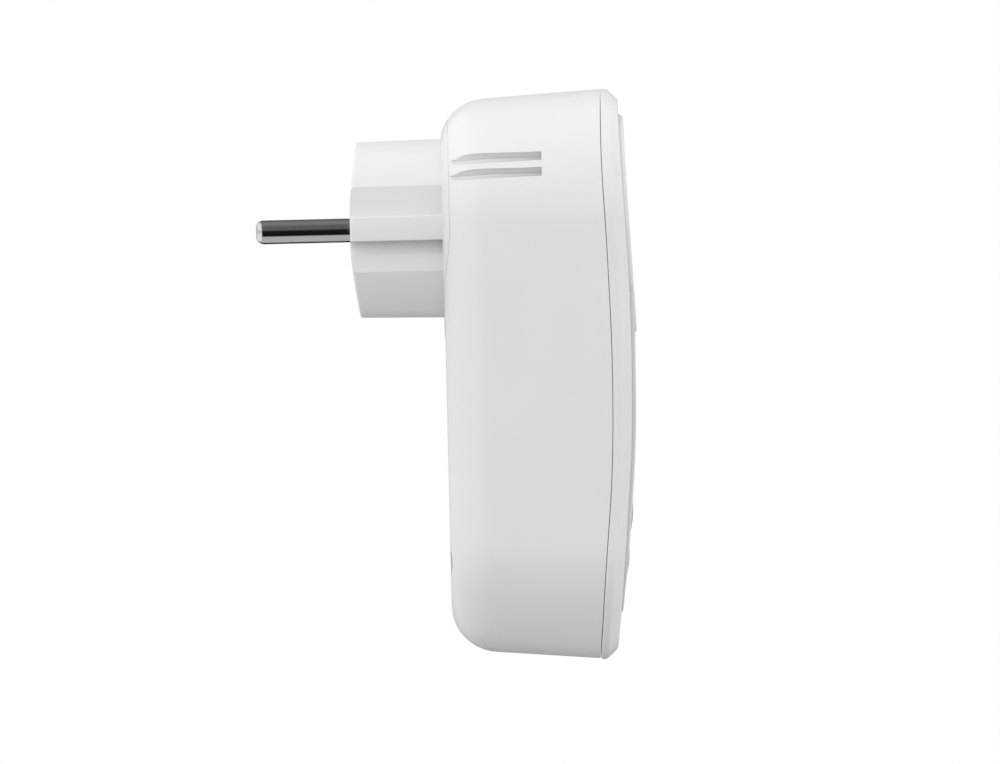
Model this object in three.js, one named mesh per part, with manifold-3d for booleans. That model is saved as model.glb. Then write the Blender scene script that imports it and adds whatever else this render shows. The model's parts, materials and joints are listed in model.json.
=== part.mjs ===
// Plug-in power meter: a wall-plug energy meter with a through socket, a display and five keys.
//
// Frame, in millimetres: the front faces -Y, the plug pins point along +Y, +Z is up and +X is to
// the right seen from the front. The origin is the centre of the plug's end face, on the plug's
// axis. Depths are given as u, the distance in front of that end face, so y = -u.

import * as THREE from 'three';
import { mergeVertices } from 'three/addons/utils/BufferGeometryUtils.js';
import Module from 'manifold-3d';

const wasm = await Module();
wasm.setup();

// ---------------------------------------------------------------- driving dimensions

const GAP = 0.3;                 // play between neighbouring pieces
const WALL = 2;                  // wall thickness of the two shells
const ROUND = 36;                // sides of the large turned pieces

const PIN_RADIUS = 2.4;          // 4.8 mm pins, 19 mm long, 19 mm apart
const PIN_LENGTH = 19.3;
const PIN_X = 9.5;

const PLUG_TIP_RADIUS = 18.3;    // plug body, drafted
const PLUG_BASE_RADIUS = 18.65;
const PLUG_FLAT_X = 16.05;       // flats beside the pins
const PLUG_FLAT_HALF_HEIGHT = 9.3;
const PLUG_RIB_HALF_HEIGHT = 2.4;
const PLUG_DISC_RADIUS = 22.2;   // round base that shows in the rear wall
const PLUG_FLANGE_RADIUS = 23.1; // hidden rim behind the rear wall

const REAR_U = 19;               // rear wall's outer face
const SEAM_U = 52;               // mean depth of the housing-to-cover joint
const FRONT_LIMIT_U = 66;        // beyond every front surface

const HALF_WIDTH = 27.8;         // outline at the seam: a half circle around the plug's axis on top
const BOTTOM_Z = -89.2;
const CORNER_RADIUS = 23;
const REAR_FILLET = 8.9;
const SIDE_DRAFT = 0.057;        // narrowing per millimetre towards the rear
const BOTTOM_DRAFT = 0.085;
const FRONT_CHAMFER = 2.2;

const RING_RADIUS = 22.5;        // raised rim of the socket
const RING_MEAN_U = 57.2;
const RING_TILT = 0.0495;        // the rim leans back towards the top
const CUP_RADIUS = 19.7;         // socket recess
const CUP_WALL = 1.7;
const CUP_FLOOR_U = 39.6;
const CUP_FLOOR_THICKNESS = 1.8;
const LAND_X = 16.9;             // guide lands inside the recess
const PIN_HOLE_RADIUS = 3.1;

const SHUTTER_HALF_HEIGHT = 3.6;
const SHUTTER_U = [34.2, 36.3];

const MAIN_BOARD_U = [27.4, 29];
const DISPLAY_BOARD_U = [43.6, 45.2];

const PANEL = { halfWidth: 23, topZ: -14, bottomZ: -79.5, corner: 17 };  // trim around display and keys
const PANEL_SEAT = -0.7;         // the panel's rear, from the cover's face
const PANEL_PLAY = 0.2;
const WINDOW = { z: -42.5, halfWidth: 17.5, halfHeight: 8.5, radius: 2.2 };
const GLASS = { halfWidth: 20, halfHeight: 10.5 };

const KEY_TRAVEL = 0.6;
const KEY = { halfWidth: 4.6, halfHeight: 2.7 };
const KEYS = [
  { name: 'set', x: -14, z: -60 },
  { name: 'function', x: 0, z: -60 },
  { name: 'cost', x: 14, z: -60 },
  { name: 'down', x: -7, z: -69 },
  { name: 'up', x: 7, z: -69 },
];

const SCREW_POSTS = [
  { name: 'upper_left', x: -14.5, z: -28 },
  { name: 'upper_right', x: 14.5, z: -28 },
  { name: 'lower_left', x: -16.2, z: -68 },
  { name: 'lower_right', x: 16.2, z: -68 },
];
const POST_RADIUS = 4.4;
const POST_JOIN_U = 33;          // where the housing's and the cover's posts meet

// Front surfaces as [z, u] from the top down. The cover's face leans back above, bulges below the
// socket, then slopes back over the keys. The panel stands a little in front of it, and the joint
// between the two shells follows the same wave, about 4 mm behind.
const FACE_LINE = [
  [34, 55.15], [12, 55.9], [-10, 56.9], [-30, 57.1], [-46, 56.65], [-64, 55.25], [-80, 53.75], [-94, 52.1],
];
const PANEL_LINE = [
  [-8, 57.9], [-26, 57.9], [-42, 57.65], [-56, 56.7], [-70, 55.3], [-80, 54.05], [-94, 52.3],
];
const SEAM_LINE = [[34, 52], [14, 51.75], [-6, 52.5], [-28, 53], [-50, 52.5], [-72, 50.65], [-94, 48.9]];
const SEAM_PLAY = 0.1;           // each shell stops this far from the joint's line

// ---------------------------------------------------------------- materials

const material = (color, roughness, metalness = 0) =>
  new THREE.MeshStandardMaterial({ color, roughness, metalness });

const WHITE_PLASTIC = material(0xededeb, 0.42);
const GREY_PANEL = material(0xd4d7d9, 0.4);
const GREY_KEY = material(0xb9bec3, 0.45);
const INNER_PLASTIC = material(0xd9d4c6, 0.55);
const BLACK_PLASTIC = material(0x1c1c1e, 0.5);
const NICKEL = material(0xb8b6b0, 0.22, 1);
const BRASS = material(0xc9a85a, 0.35, 1);
const STEEL = material(0x9a9da1, 0.35, 1);
const BOARD = material(0x1f6b3c, 0.5);
const CLEAR = material(0xdfe6e6, 0.08);
const LCD_GREY = material(0x93a08c, 0.25);
const RUBBER = material(0x2a2a2a, 0.85);
const CAPACITOR_YELLOW = material(0xd9b23a, 0.5);
const VARISTOR_BLUE = material(0x2c5fa8, 0.5);
const SLEEVE_GREEN = material(0x3d8f5a, 0.4);

// ---------------------------------------------------------------- solids

// Signed volume, used to turn a mesh's faces outwards.
function signedVolume(positions, index) {
  const [a, b, c] = [new THREE.Vector3(), new THREE.Vector3(), new THREE.Vector3()];
  let volume = 0;
  for (let i = 0; i < index.length; i += 3) {
    a.fromArray(positions, 3 * index[i]);
    b.fromArray(positions, 3 * index[i + 1]);
    c.fromArray(positions, 3 * index[i + 2]);
    volume += a.dot(b.cross(c));
  }
  return volume;
}

function solid(geometry) {
  geometry.deleteAttribute('normal');
  geometry.deleteAttribute('uv');
  const merged = mergeVertices(geometry, 1e-4);
  const vertProperties = merged.attributes.position.array;
  const triVerts = Uint32Array.from(merged.index.array);
  if (signedVolume(vertProperties, triVerts) < 0) triVerts.reverse();
  return new wasm.Manifold(new wasm.Mesh({ numProp: 3, vertProperties, triVerts }));
}

function geometryOf(body) {
  const { vertProperties, triVerts } = body.getMesh();
  const geometry = new THREE.BufferGeometry();
  geometry.setAttribute('position', new THREE.BufferAttribute(vertProperties, 3));
  geometry.setIndex(new THREE.BufferAttribute(triVerts, 1));
  return geometry;
}

const join = (...bodies) => bodies.reduce((a, b) => a.add(b));
const cut = (body, ...tools) => tools.reduce((a, b) => a.subtract(b), body);
const common = (...bodies) => bodies.reduce((a, b) => a.intersect(b));

// Box from ranges along X, depth u and Z.
function block([x0, x1], [u0, u1], [z0, z1]) {
  const box = new THREE.BoxGeometry(x1 - x0, u1 - u0, z1 - z0);
  box.translate((x0 + x1) / 2, -(u0 + u1) / 2, (z0 + z1) / 2);
  return solid(box);
}

// Shape drawn in X and Z, pushed through the depths u0 to u1.
function prism(shape, [u0, u1], segments = 8) {
  const geometry = new THREE.ExtrudeGeometry(shape, {
    depth: u1 - u0, bevelEnabled: false, curveSegments: segments,
  });
  geometry.translate(0, 0, u0);
  return solid(geometry.rotateX(Math.PI / 2));
}

// Closed polygon of [u, z] points, pushed sideways from x0 to x1.
function sideProfile(points, [x0, x1]) {
  const shape = new THREE.Shape(points.map(([u, z]) => new THREE.Vector2(-u, z)));
  const geometry = new THREE.ExtrudeGeometry(shape, { depth: x1 - x0, bevelEnabled: false });
  // The shape's axes become Y and Z, and the depth runs along X.
  geometry.applyMatrix4(new THREE.Matrix4().makeBasis(
    new THREE.Vector3(0, 1, 0), new THREE.Vector3(0, 0, 1), new THREE.Vector3(1, 0, 0)));
  return solid(geometry.translate(x0, 0, 0));
}

// Closed polygon of [x, u] points, pushed from z0 up to z1 and then reshaped.
function planProfile(points, [z0, z1], reshape) {
  const shape = new THREE.Shape(points.map(([x, u]) => new THREE.Vector2(x, -u)));
  const geometry = new THREE.ExtrudeGeometry(shape, { depth: z1 - z0, bevelEnabled: false });
  return solid(reshape(geometry.translate(0, 0, z0)));
}

// Profile of [radius, u] points turned about the depth axis through (x, z).
function turned(profile, x = 0, z = 0, segments = 20) {
  const points = profile.map(([r, u]) => new THREE.Vector2(r, -u));
  return solid(new THREE.LatheGeometry(points, segments).translate(x, 0, z));
}

const rod = (radius, [u0, u1], x = 0, z = 0, segments = 16) =>
  turned([[0, u0], [radius, u0], [radius, u1], [0, u1]], x, z, segments);

function roundedRectangle(halfWidth, halfHeight, radius, x = 0, z = 0) {
  const shape = new THREE.Shape();
  const [w, h] = [halfWidth - radius, halfHeight - radius];
  shape.absarc(x + w, z + h, radius, 0, Math.PI / 2);
  shape.absarc(x - w, z + h, radius, Math.PI / 2, Math.PI);
  shape.absarc(x - w, z - h, radius, Math.PI, 1.5 * Math.PI);
  shape.absarc(x + w, z - h, radius, 1.5 * Math.PI, 2 * Math.PI);
  shape.closePath();
  return shape;
}

// ---------------------------------------------------------------- shared case surfaces

// Case outline at the seam, moved inwards by inset.
function outline(inset) {
  const radius = HALF_WIDTH - inset;
  const corner = CORNER_RADIUS - inset;
  const shape = new THREE.Shape();
  shape.absarc(0, 0, radius, 0, Math.PI);
  shape.absarc(corner - radius, BOTTOM_Z + CORNER_RADIUS, corner, Math.PI, 1.5 * Math.PI);
  shape.absarc(radius - corner, BOTTOM_Z + CORNER_RADIUS, corner, 1.5 * Math.PI, 2 * Math.PI);
  shape.closePath();
  return shape;
}

// Narrows a blank towards the rear, which lets the shell leave its mould.
function applyDraft(geometry) {
  const position = geometry.attributes.position;
  for (let i = 0; i < position.count; i++) {
    const [x, y, z] = [position.getX(i), position.getY(i), position.getZ(i)];
    const behindSeam = SEAM_U + y;
    const across = 1 - (SIDE_DRAFT * behindSeam) / HALF_WIDTH;
    const down = 1 - (BOTTOM_DRAFT * behindSeam) / -BOTTOM_Z;
    position.setXYZ(i, x * across, y, z > 0 ? z * across : z * down);
  }
  return geometry;
}

// Case blank with a rounded rear edge: from rearU forward past every front surface.
function caseBlank(inset, rearU, fillet) {
  const geometry = new THREE.ExtrudeGeometry(outline(inset), {
    depth: FRONT_LIMIT_U - rearU - fillet, curveSegments: 6,
    bevelThickness: fillet, bevelSize: fillet, bevelOffset: -fillet, bevelSegments: 3,
  });
  geometry.translate(0, 0, rearU + fillet).rotateX(Math.PI / 2);
  return solid(applyDraft(geometry));
}

// Smooth line of [u, z] points through the given [z, u] ones, from the top down.
function smoothLine(points, steps) {
  const curve = new THREE.SplineCurve(points.map(([z, u]) => new THREE.Vector2(u, z)));
  return curve.getPoints(steps).map((p) => [p.x, p.y]);
}

const facePoints = smoothLine(FACE_LINE, 12);
const panelPoints = smoothLine(PANEL_LINE, 10);
const seamPoints = smoothLine(SEAM_LINE, 9);

function faceU(z) {
  const k = facePoints.findIndex(([, pz]) => pz <= z);
  const [u0, z0] = facePoints[k - 1];
  const [u1, z1] = facePoints[k];
  return u0 + ((u1 - u0) * (z - z0)) / (z1 - z0);
}

const SIDE_SPAN = [-40, 40];     // wider than the case

// Everything behind a line of [u, z] points that is moved forward by offset.
function behindLine(line, offset) {
  const [top, bottom] = [line[0], line[line.length - 1]];
  return sideProfile([[0, top[1]], ...line.map(([u, z]) => [u + offset, z]), [0, bottom[1]]], SIDE_SPAN);
}

const behindFace = (offset) => behindLine(facePoints, offset);
const behindPanel = (offset) => behindLine(panelPoints, offset);
const behindSeam = (offset) => behindLine(seamPoints, offset);

// Blank whose front edge carries a chamfer that follows the cover's face.
function chamferedBlank() {
  const [depth, reach] = [30, 2 * FRONT_CHAMFER];
  const geometry = new THREE.ExtrudeGeometry(outline(0), {
    depth, curveSegments: 6,
    bevelThickness: reach, bevelSize: reach, bevelOffset: -reach, bevelSegments: 1,
  });
  geometry.rotateX(Math.PI / 2);
  const position = geometry.attributes.position;
  for (let i = 0; i < position.count; i++) {
    const y = position.getY(i);
    const isFront = y < -depth / 2;
    const forward = isFront ? faceU(position.getZ(i)) - FRONT_CHAMFER - depth : depth;
    position.setY(i, y - forward);
  }
  return solid(geometry);
}

const outerBlank = caseBlank(0, REAR_U, REAR_FILLET);
const REAR_WALL = 2.2;
const innerBlank = caseBlank(WALL, REAR_U + REAR_WALL, REAR_FILLET - WALL);

// ---------------------------------------------------------------- housing

// Two grip grooves in each side. Their floor is given as [u, radius at the groove's upper edge] and
// rises to the surface at the rear, so each groove ends there in a point.
const GROOVE = { lowerEdges: [10.1, 13.65], height: 1.8, outerX: 34 };
const GROOVE_FLOOR = [[18, 22.4], [20.5, 25], [22.2, 26], [24.2, 26.6], [27, 26.6], [39.4, 26.1]];
const GROOVE_BACKING = { thickness: 3.4, below: 1.2, height: 7.6 };

// Cutter above one z; a thickness gives the backing behind the lower groove's floor instead.
function grooveTool(side, lowerEdge, height, thickness = 0) {
  const upperEdge = (thickness ? GROOVE.lowerEdges[0] : lowerEdge) + GROOVE.height;
  const floor = GROOVE_FLOOR.map(([u, radius]) =>
    [side * (Math.sqrt(radius ** 2 - upperEdge ** 2) - thickness), u]);
  const outer = [[side * GROOVE.outerX, GROOVE_FLOOR.at(-1)[0]], [side * GROOVE.outerX, GROOVE_FLOOR[0][0]]];
  return planProfile([...floor, ...outer], [lowerEdge, lowerEdge + height], applyDraft);
}

const sides = [-1, 1];

const grooveBackings = () => join(...sides.map((side) => common(outerBlank, grooveTool(
  side, GROOVE.lowerEdges[0] - GROOVE_BACKING.below, GROOVE_BACKING.height, GROOVE_BACKING.thickness))));

const grooves = () => join(...sides.flatMap((side) =>
  GROOVE.lowerEdges.map((edge) => grooveTool(side, edge, GROOVE.height))));

const postHead = { counterboreRadius: 3.3, seatU: 25.2, boreRadius: 1.75 };

function rearHousing() {
  const shell = common(cut(outerBlank, innerBlank), behindSeam(-SEAM_PLAY));
  const posts = SCREW_POSTS.map(({ x, z }) =>
    common(rod(POST_RADIUS, [REAR_U, POST_JOIN_U], x, z, 20), outerBlank));
  const bores = SCREW_POSTS.flatMap(({ x, z }) => [
    rod(postHead.counterboreRadius, [REAR_U - 5, postHead.seatU], x, z, 20),
    rod(postHead.boreRadius, [REAR_U, POST_JOIN_U + 1], x, z, 12),
  ]);
  const plugOpening = rod(PLUG_DISC_RADIUS + GAP, [REAR_U - 1, FLANGE_U[0]], 0, 0, ROUND);
  const stiffened = cut(join(shell, grooveBackings(), ...posts), grooves(), ...bores);
  const supports = boardSupports();
  const cupRoom = rod(CUP_RADIUS + CUP_WALL + GAP, [CUP_FLOOR_U - 3, SEAM_U], 0, 0, ROUND);
  return join(cut(stiffened, plugOpening, cupRoom), ...supports);
}

const BOARD_SCREW_Z = [-30, -77];
const BOARD_SCREW_BORE = 1.15;

// Short pillars that carry the main board.
function boardSupports() {
  const [wallU, boardU] = [REAR_U + WALL, MAIN_BOARD_U[0] - GAP];
  return BOARD_SCREW_Z.map((z) => cut(
    rod(2.2, [wallU, boardU], 0, z, 16), rod(BOARD_SCREW_BORE, [boardU - 4.5, boardU + 1], 0, z, 12)));
}

// ---------------------------------------------------------------- plug

const EARTH_WIDTH = 6;
const EARTH_RECESS_Z = 14.6;     // floor of the recess for an earth clip
// Plug end face as [z, u]: flat between the pins, then curved back towards the top and bottom.
const PLUG_NOSE = [[3.5, 0], [8, 0.3], [12, 0.8], [15.5, 1.3], [20, 2.1]];
const PLUG_CAVITY = { halfWidth: 14.2, halfHeight: 8, radius: 4, floorU: 8 };
const FLANGE_U = [24.4, 25.6];
const PIN_BOSS = { radius: 4, topU: 14 };

function plugInsert() {
  const frontU = FLANGE_U[1];
  const blank = turned([
    [0, 0], [PLUG_TIP_RADIUS, 0], [PLUG_BASE_RADIUS, REAR_U + 1], [0, REAR_U + 1],
  ], 0, 0, ROUND);
  const upperNose = PLUG_NOSE.map(([z, u]) => [u, z]);
  const lowerNose = PLUG_NOSE.map(([z, u]) => [u, -z]).reverse();
  const body = common(blank, sideProfile(
    [...lowerNose, ...upperNose, [frontU, PLUG_BASE_RADIUS + 1], [frontU, -PLUG_BASE_RADIUS - 1]], SIDE_SPAN));
  const base = common(rod(PLUG_DISC_RADIUS, [REAR_U - 1, frontU], 0, 0, ROUND), outerBlank);
  const flange = rod(PLUG_FLANGE_RADIUS, FLANGE_U, 0, 0, ROUND);
  const [reliefOuter, reliefInner] = [20.6, 17.4];
  const relief = cut(
    rod(reliefOuter, [REAR_U + WALL, frontU + 1], 0, 0, ROUND),
    rod(reliefInner, [REAR_U, frontU + 2], 0, 0, ROUND));
  const flats = sides.flatMap((side) => [
    [PLUG_RIB_HALF_HEIGHT, PLUG_FLAT_HALF_HEIGHT], [-PLUG_FLAT_HALF_HEIGHT, -PLUG_RIB_HALF_HEIGHT],
  ].map((range) => block(ordered(side * PLUG_FLAT_X, side * 24), [-1, REAR_U], range)));
  const earthRecesses = sides.map((side) => block(
    [-EARTH_WIDTH / 2 - GAP, EARTH_WIDTH / 2 + GAP], [1.8, frontU + 1],
    ordered(side * EARTH_RECESS_Z, side * (PLUG_BASE_RADIUS + 0.2))));
  const notches = sides.map((side) => block(
    ordered(side * 16.3, side * 26), [REAR_U + WALL, frontU + 1], [7.4, 17]));
  const { halfWidth, halfHeight, radius, floorU } = PLUG_CAVITY;
  const cavity = prism(roundedRectangle(halfWidth, halfHeight, radius), [floorU, frontU + 1], 3);
  const bosses = sides.map((side) => rod(PIN_BOSS.radius, [floorU, PIN_BOSS.topU], side * PIN_X));
  const pinHoles = sides.map((side) => rod(PIN_RADIUS + 0.2, [-1, PIN_BOSS.topU + 1], side * PIN_X, 0, 20));
  const whole = cut(join(body, base, flange), relief, ...flats, ...earthRecesses, ...notches, cavity);
  return cut(join(whole, ...bosses), ...pinHoles);
}

// Two numbers as a rising range.
function ordered(a, b) {
  return [Math.min(a, b), Math.max(a, b)];
}

function plugPin(side) {
  const innerU = PIN_BOSS.topU + GAP;
  return turned([
    [0, -PIN_LENGTH], [1.1, -PIN_LENGTH + 0.15], [1.95, -PIN_LENGTH + 0.85], [PIN_RADIUS, -PIN_LENGTH + 2.2],
    [PIN_RADIUS, innerU], [PIN_RADIUS + 1.1, innerU], [PIN_RADIUS + 1.1, innerU + 1], [0, innerU + 1],
  ], side * PIN_X, 0, 20);
}

// One bent strip: a spring arm in each recess of the plug and a bridge across the inside.
function plugEarthStrap() {
  const [outer, thickness, bridgeU] = [18.1, 0.9, FLANGE_U[1] + GAP];
  const path = [[2.3, 16.4], [3.4, outer - 0.7], [7, outer], [12, outer - 0.2], [19, EARTH_RECESS_Z + 1.6]];
  const arm = (sign) => {
    const line = path.map(([u, z]) => [u, sign * z]);
    const foot = [bridgeU + thickness, sign * (EARTH_RECESS_Z + 1.6)];
    const inner = [...line, foot].reverse().map(([u, z]) => [u, z - sign * thickness]);
    return sideProfile([...line, foot, ...inner], [-EARTH_WIDTH / 2, EARTH_WIDTH / 2]);
  };
  const reach = EARTH_RECESS_Z + 1.6;
  const bridge = block([-EARTH_WIDTH / 2, EARTH_WIDTH / 2], [bridgeU, bridgeU + thickness], [-reach, reach]);
  return join(arm(1), arm(-1), bridge);
}

// ---------------------------------------------------------------- front cover

const coverHole = RING_RADIUS + GAP;
const FRONT_SPAN = [46, 62];     // depths that hold every front surface
const WINDOW_PLAY = 0.4;
const windowShape = (play) => roundedRectangle(
  WINDOW.halfWidth + play, WINDOW.halfHeight + play, WINDOW.radius, 0, WINDOW.z);
const keyOpening = (key, play) =>
  roundedRectangle(KEY.halfWidth + play, KEY.halfHeight + play, KEY.halfHeight + play - 0.1, key.x, key.z);

function frontCover() {
  const faced = common(outerBlank, chamferedBlank(), behindFace(0));
  const inside = common(innerBlank, behindFace(-WALL));
  const panelPocket = cut(panelBlank(PANEL_PLAY), behindFace(PANEL_SEAT - PANEL_PLAY));
  const shell = cut(faced, inside, behindSeam(SEAM_PLAY), panelPocket);
  const pilotRadius = 1.35;
  const posts = SCREW_POSTS.map(({ x, z }) => cut(
    common(rod(POST_RADIUS - 0.9, [POST_JOIN_U + GAP, 60], x, z, 20), behindFace(-1)),
    rod(pilotRadius, [POST_JOIN_U - 1, POST_JOIN_U + 12], x, z, 12)));
  const openings = [
    rod(coverHole, FRONT_SPAN, 0, 0, ROUND),
    prism(windowShape(WINDOW_PLAY + PANEL_PLAY), FRONT_SPAN, 2),
    ...KEYS.map((key) => prism(keyOpening(key, GAP), FRONT_SPAN, 2)),
  ];
  const insideTop = HALF_WIDTH - WALL;
  const tongue = block([-2.5, 2.5], [SEAM_U - 3.5, SEAM_U + 2], [insideTop - 1.9, insideTop - 0.6]);
  return join(cut(shell, ...openings), ...posts, tongue);
}

// Panel outline grown by play: straight on top, rounded below.
function panelBlank(play) {
  const [w, corner] = [PANEL.halfWidth + play, PANEL.corner + play];
  const cornerZ = PANEL.bottomZ + PANEL.corner;
  const shape = new THREE.Shape();
  shape.moveTo(w, PANEL.topZ + play);
  shape.lineTo(-w, PANEL.topZ + play);
  shape.absarc(corner - w, cornerZ, corner, Math.PI, 1.5 * Math.PI);
  shape.absarc(w - corner, cornerZ, corner, 1.5 * Math.PI, 2 * Math.PI);
  shape.closePath();
  return prism(shape, FRONT_SPAN, 6);
}

function frontPanel() {
  const band = cut(behindPanel(0), behindFace(PANEL_SEAT));
  const openings = [
    rod(RING_RADIUS + 0.9, FRONT_SPAN, 0, 0, ROUND),
    prism(windowShape(WINDOW_PLAY), FRONT_SPAN, 2),
    ...KEYS.map((key) => prism(keyOpening(key, GAP), FRONT_SPAN, 2)),
  ];
  return cut(common(band, panelBlank(0)), ...openings);
}

// Pane a little below the panel's front, with a rim behind the cover.
function windowLens() {
  const [paneSink, rimThickness] = [0.1, 1.1];
  const rear = -WALL - GAP - rimThickness;
  const rimShape = roundedRectangle(WINDOW.halfWidth + 2, WINDOW.halfHeight + 1.6, 2, 0, WINDOW.z);
  const pane = common(prism(windowShape(0), FRONT_SPAN, 3), cut(behindPanel(-paneSink), behindFace(rear)));
  const rim = common(prism(rimShape, FRONT_SPAN, 3), cut(behindFace(-WALL - GAP), behindFace(rear)));
  return join(pane, rim);
}

// ---------------------------------------------------------------- socket

// The rim leans with the cover's face, so depths in front of the cup's floor are sheared.
function leanWithFace(geometry, fromU) {
  const position = geometry.attributes.position;
  for (let i = 0; i < position.count; i++) {
    if (position.getY(i) < -fromU) position.setY(i, position.getY(i) + RING_TILT * position.getZ(i));
  }
  return geometry;
}

function leaningRing(profile, fromU) {
  const points = profile.map(([r, u]) => new THREE.Vector2(r, -u));
  return solid(leanWithFace(new THREE.LatheGeometry(points, ROUND), fromU));
}

function socketInsert() {
  const cupOuter = CUP_RADIUS + CUP_WALL;
  const [floorRear, flangeRear, flangeFront] = [CUP_FLOOR_U - CUP_FLOOR_THICKNESS, 51.6, 53];
  const body = leaningRing([
    [0, floorRear], [cupOuter, floorRear], [cupOuter, flangeRear], [RING_RADIUS + 1.2, flangeRear],
    [RING_RADIUS + 1.2, flangeFront], [RING_RADIUS, flangeFront], [RING_RADIUS, RING_MEAN_U - 0.7],
    [RING_RADIUS - 0.7, RING_MEAN_U], [CUP_RADIUS + 0.6, RING_MEAN_U], [CUP_RADIUS, RING_MEAN_U - 0.7],
    [CUP_RADIUS, CUP_FLOOR_U], [0, CUP_FLOOR_U],
  ], CUP_FLOOR_U + 1);
  const landRanges = [[3.4, 8.9], [-8.9, -3.4]];
  const cupCore = rod(CUP_RADIUS + 0.5, [CUP_FLOOR_U - 0.5, RING_MEAN_U - 3], 0, 0, ROUND);
  const lands = sides.flatMap((side) => landRanges.map((range) =>
    common(block(ordered(side * LAND_X, side * 21), [CUP_FLOOR_U - 0.5, RING_MEAN_U - 4], range), cupCore)));
  const through = [floorRear - 1, CUP_FLOOR_U + 1];
  const holes = sides.flatMap((side) => [
    rod(PIN_HOLE_RADIUS, through, side * PIN_X, 0, 20),
    block([-2.7, 2.7], through, ordered(side * 16.4, side * 19.2)),
  ]);
  return join(cut(join(body, ...lands), ...holes), shutterGuide(floorRear));
}

// Rails and end bar behind the cup that steer the shutter and seat its spring.
function shutterGuide(floorRear) {
  const [innerX, outerX, topZ] = [14.2, 15.7, 15.6];
  const guideU = [SHUTTER_U[0] - 0.8, floorRear + 0.2];
  const rails = sides.map((side) => block(ordered(side * innerX, side * outerX), guideU, [-5.5, topZ]));
  const bar = block([-outerX, outerX], [guideU[0], SHUTTER_U[1]], [topZ - 1.5, topZ]);
  return join(...rails, bar);
}

function socketEarthBracket() {
  const [halfWidth, thickness, baseU, tipU] = [2.3, 0.8, 37.5, 54];
  const arm = (sign) => {
    const line = [[baseU, 18.6], [46, 18.6], [50.5, 17.2], [tipU, 18.8]].map(([u, z]) => [u, sign * z]);
    const inner = [...line].reverse().map(([u, z]) => [u, z - sign * thickness]);
    return sideProfile([...line, ...inner], [-halfWidth, halfWidth]);
  };
  const base = block([-halfWidth, halfWidth], [baseU - thickness, baseU], [-18.6, 18.6]);
  return join(base, arm(1), arm(-1));
}

const earthLink = () => block([-2.3, 2.3], [FLANGE_U[1] + 1.5, 36.4], [-12.3, -11.5]);

function shutter() {
  const plate = block([-13.8, 13.8], SHUTTER_U, [-SHUTTER_HALF_HEIGHT, SHUTTER_HALF_HEIGHT]);
  const seat = { radius: 0.6, height: 1.2, sink: 0.1 };   // pin that centres the spring
  const springSeat = solid(new THREE.CylinderGeometry(seat.radius, seat.radius, seat.height, 16)
    .rotateX(Math.PI / 2).translate(0, -SPRING.u, SHUTTER_HALF_HEIGHT - seat.sink + seat.height / 2));
  // Sloped lips under the pin holes turn a pin's push into sideways travel.
  const lips = sides.map((side) => sideProfile(
    [[SHUTTER_U[1] + 1, -3.6], [SHUTTER_U[1] - 1.6, -3.6], [SHUTTER_U[1] + 1, 1.5]],
    ordered(side * (PIN_X - 3.4), side * (PIN_X + 3.4))));
  return join(cut(plate, ...lips), springSeat);
}

const SPRING = { wire: 0.2, radius: 0.95, turns: 6, u: 35.25, z: [3.9, 13.8] };

function shutterSpring() {
  const [z0, z1] = [SPRING.z[0] + SPRING.wire, SPRING.z[1] - SPRING.wire];
  class Helix extends THREE.Curve {
    getPoint(t, target = new THREE.Vector3()) {
      const angle = 2 * Math.PI * SPRING.turns * t;
      return target.set(
        SPRING.radius * Math.cos(angle), -SPRING.u + SPRING.radius * Math.sin(angle), z0 + (z1 - z0) * t);
    }
  }
  const section = new THREE.Shape();
  section.absarc(0, 0, SPRING.wire, 0, 2 * Math.PI);
  return solid(new THREE.ExtrudeGeometry(section, {
    extrudePath: new Helix(), steps: 8 * SPRING.turns, curveSegments: 2, bevelEnabled: false,
  }));
}

// ---------------------------------------------------------------- contacts

const CARRIER_U = [27.4, 33];

function contactCarrier() {
  const body = block([-15.2, 15.2], CARRIER_U, [-5.9, 5.9]);
  const pockets = sides.map((side) => block(
    ordered(side * 5.4, side * 13.8), [CARRIER_U[0] - 1, CARRIER_U[1] + 1], [-4.6, 4.6]));
  return cut(body, ...pockets);
}

// Fork of two leaves joined by a base; a mating pin enters between the leaves.
function socketContact(side, baseU) {
  const [leafX, thickness, topU, leafZ] = [2.9, 0.6, 32.4, [-2.2, 2.2]];
  const centre = side * PIN_X;
  const leaves = sides.map((s) => block(
    ordered(centre + s * leafX, centre + s * (leafX + thickness)), [baseU, topU], leafZ));
  const reach = leafX + thickness;
  const base = block([centre - reach, centre + reach], [baseU - thickness, baseU], leafZ);
  return join(...leaves, base);
}

// Flat strip that drops from a contact to the main board behind it.
function busStrip(x, fromU, topZ) {
  const [halfWidth, thickness, footZ] = [0.9, 0.8, -33];
  const behindBoard = MAIN_BOARD_U[0] - GAP - thickness;
  const across = [x - halfWidth, x + halfWidth];
  const riser = block(across, [fromU, behindBoard + thickness], [topZ - thickness, topZ]);
  const run = block(across, [behindBoard, behindBoard + thickness], [footZ, topZ]);
  return join(riser, run);
}

// ---------------------------------------------------------------- electronics

const BOARD_CLEARANCE = 0.6;

function board([u0, u1], inset, topZ, postRadius, screwZ) {
  const through = [u0 - 1, u1 + 1];
  const plate = common(prism(outline(inset), [u0, u1], 3), block(SIDE_SPAN, through, [-100, topZ]));
  const notches = SCREW_POSTS.map(({ x, z }) => rod(postRadius + BOARD_CLEARANCE, through, x, z, 20));
  const bores = screwZ.map((z) => rod(BOARD_SCREW_BORE, through, 0, z, 12));
  return cut(plate, ...notches, ...bores);
}

const mainBoard = () => board(MAIN_BOARD_U, 4.6, -25.5, POST_RADIUS, BOARD_SCREW_Z);
const displayBoard = () => board(DISPLAY_BOARD_U, 3.4, -31, POST_RADIUS - 0.9, []);

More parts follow.
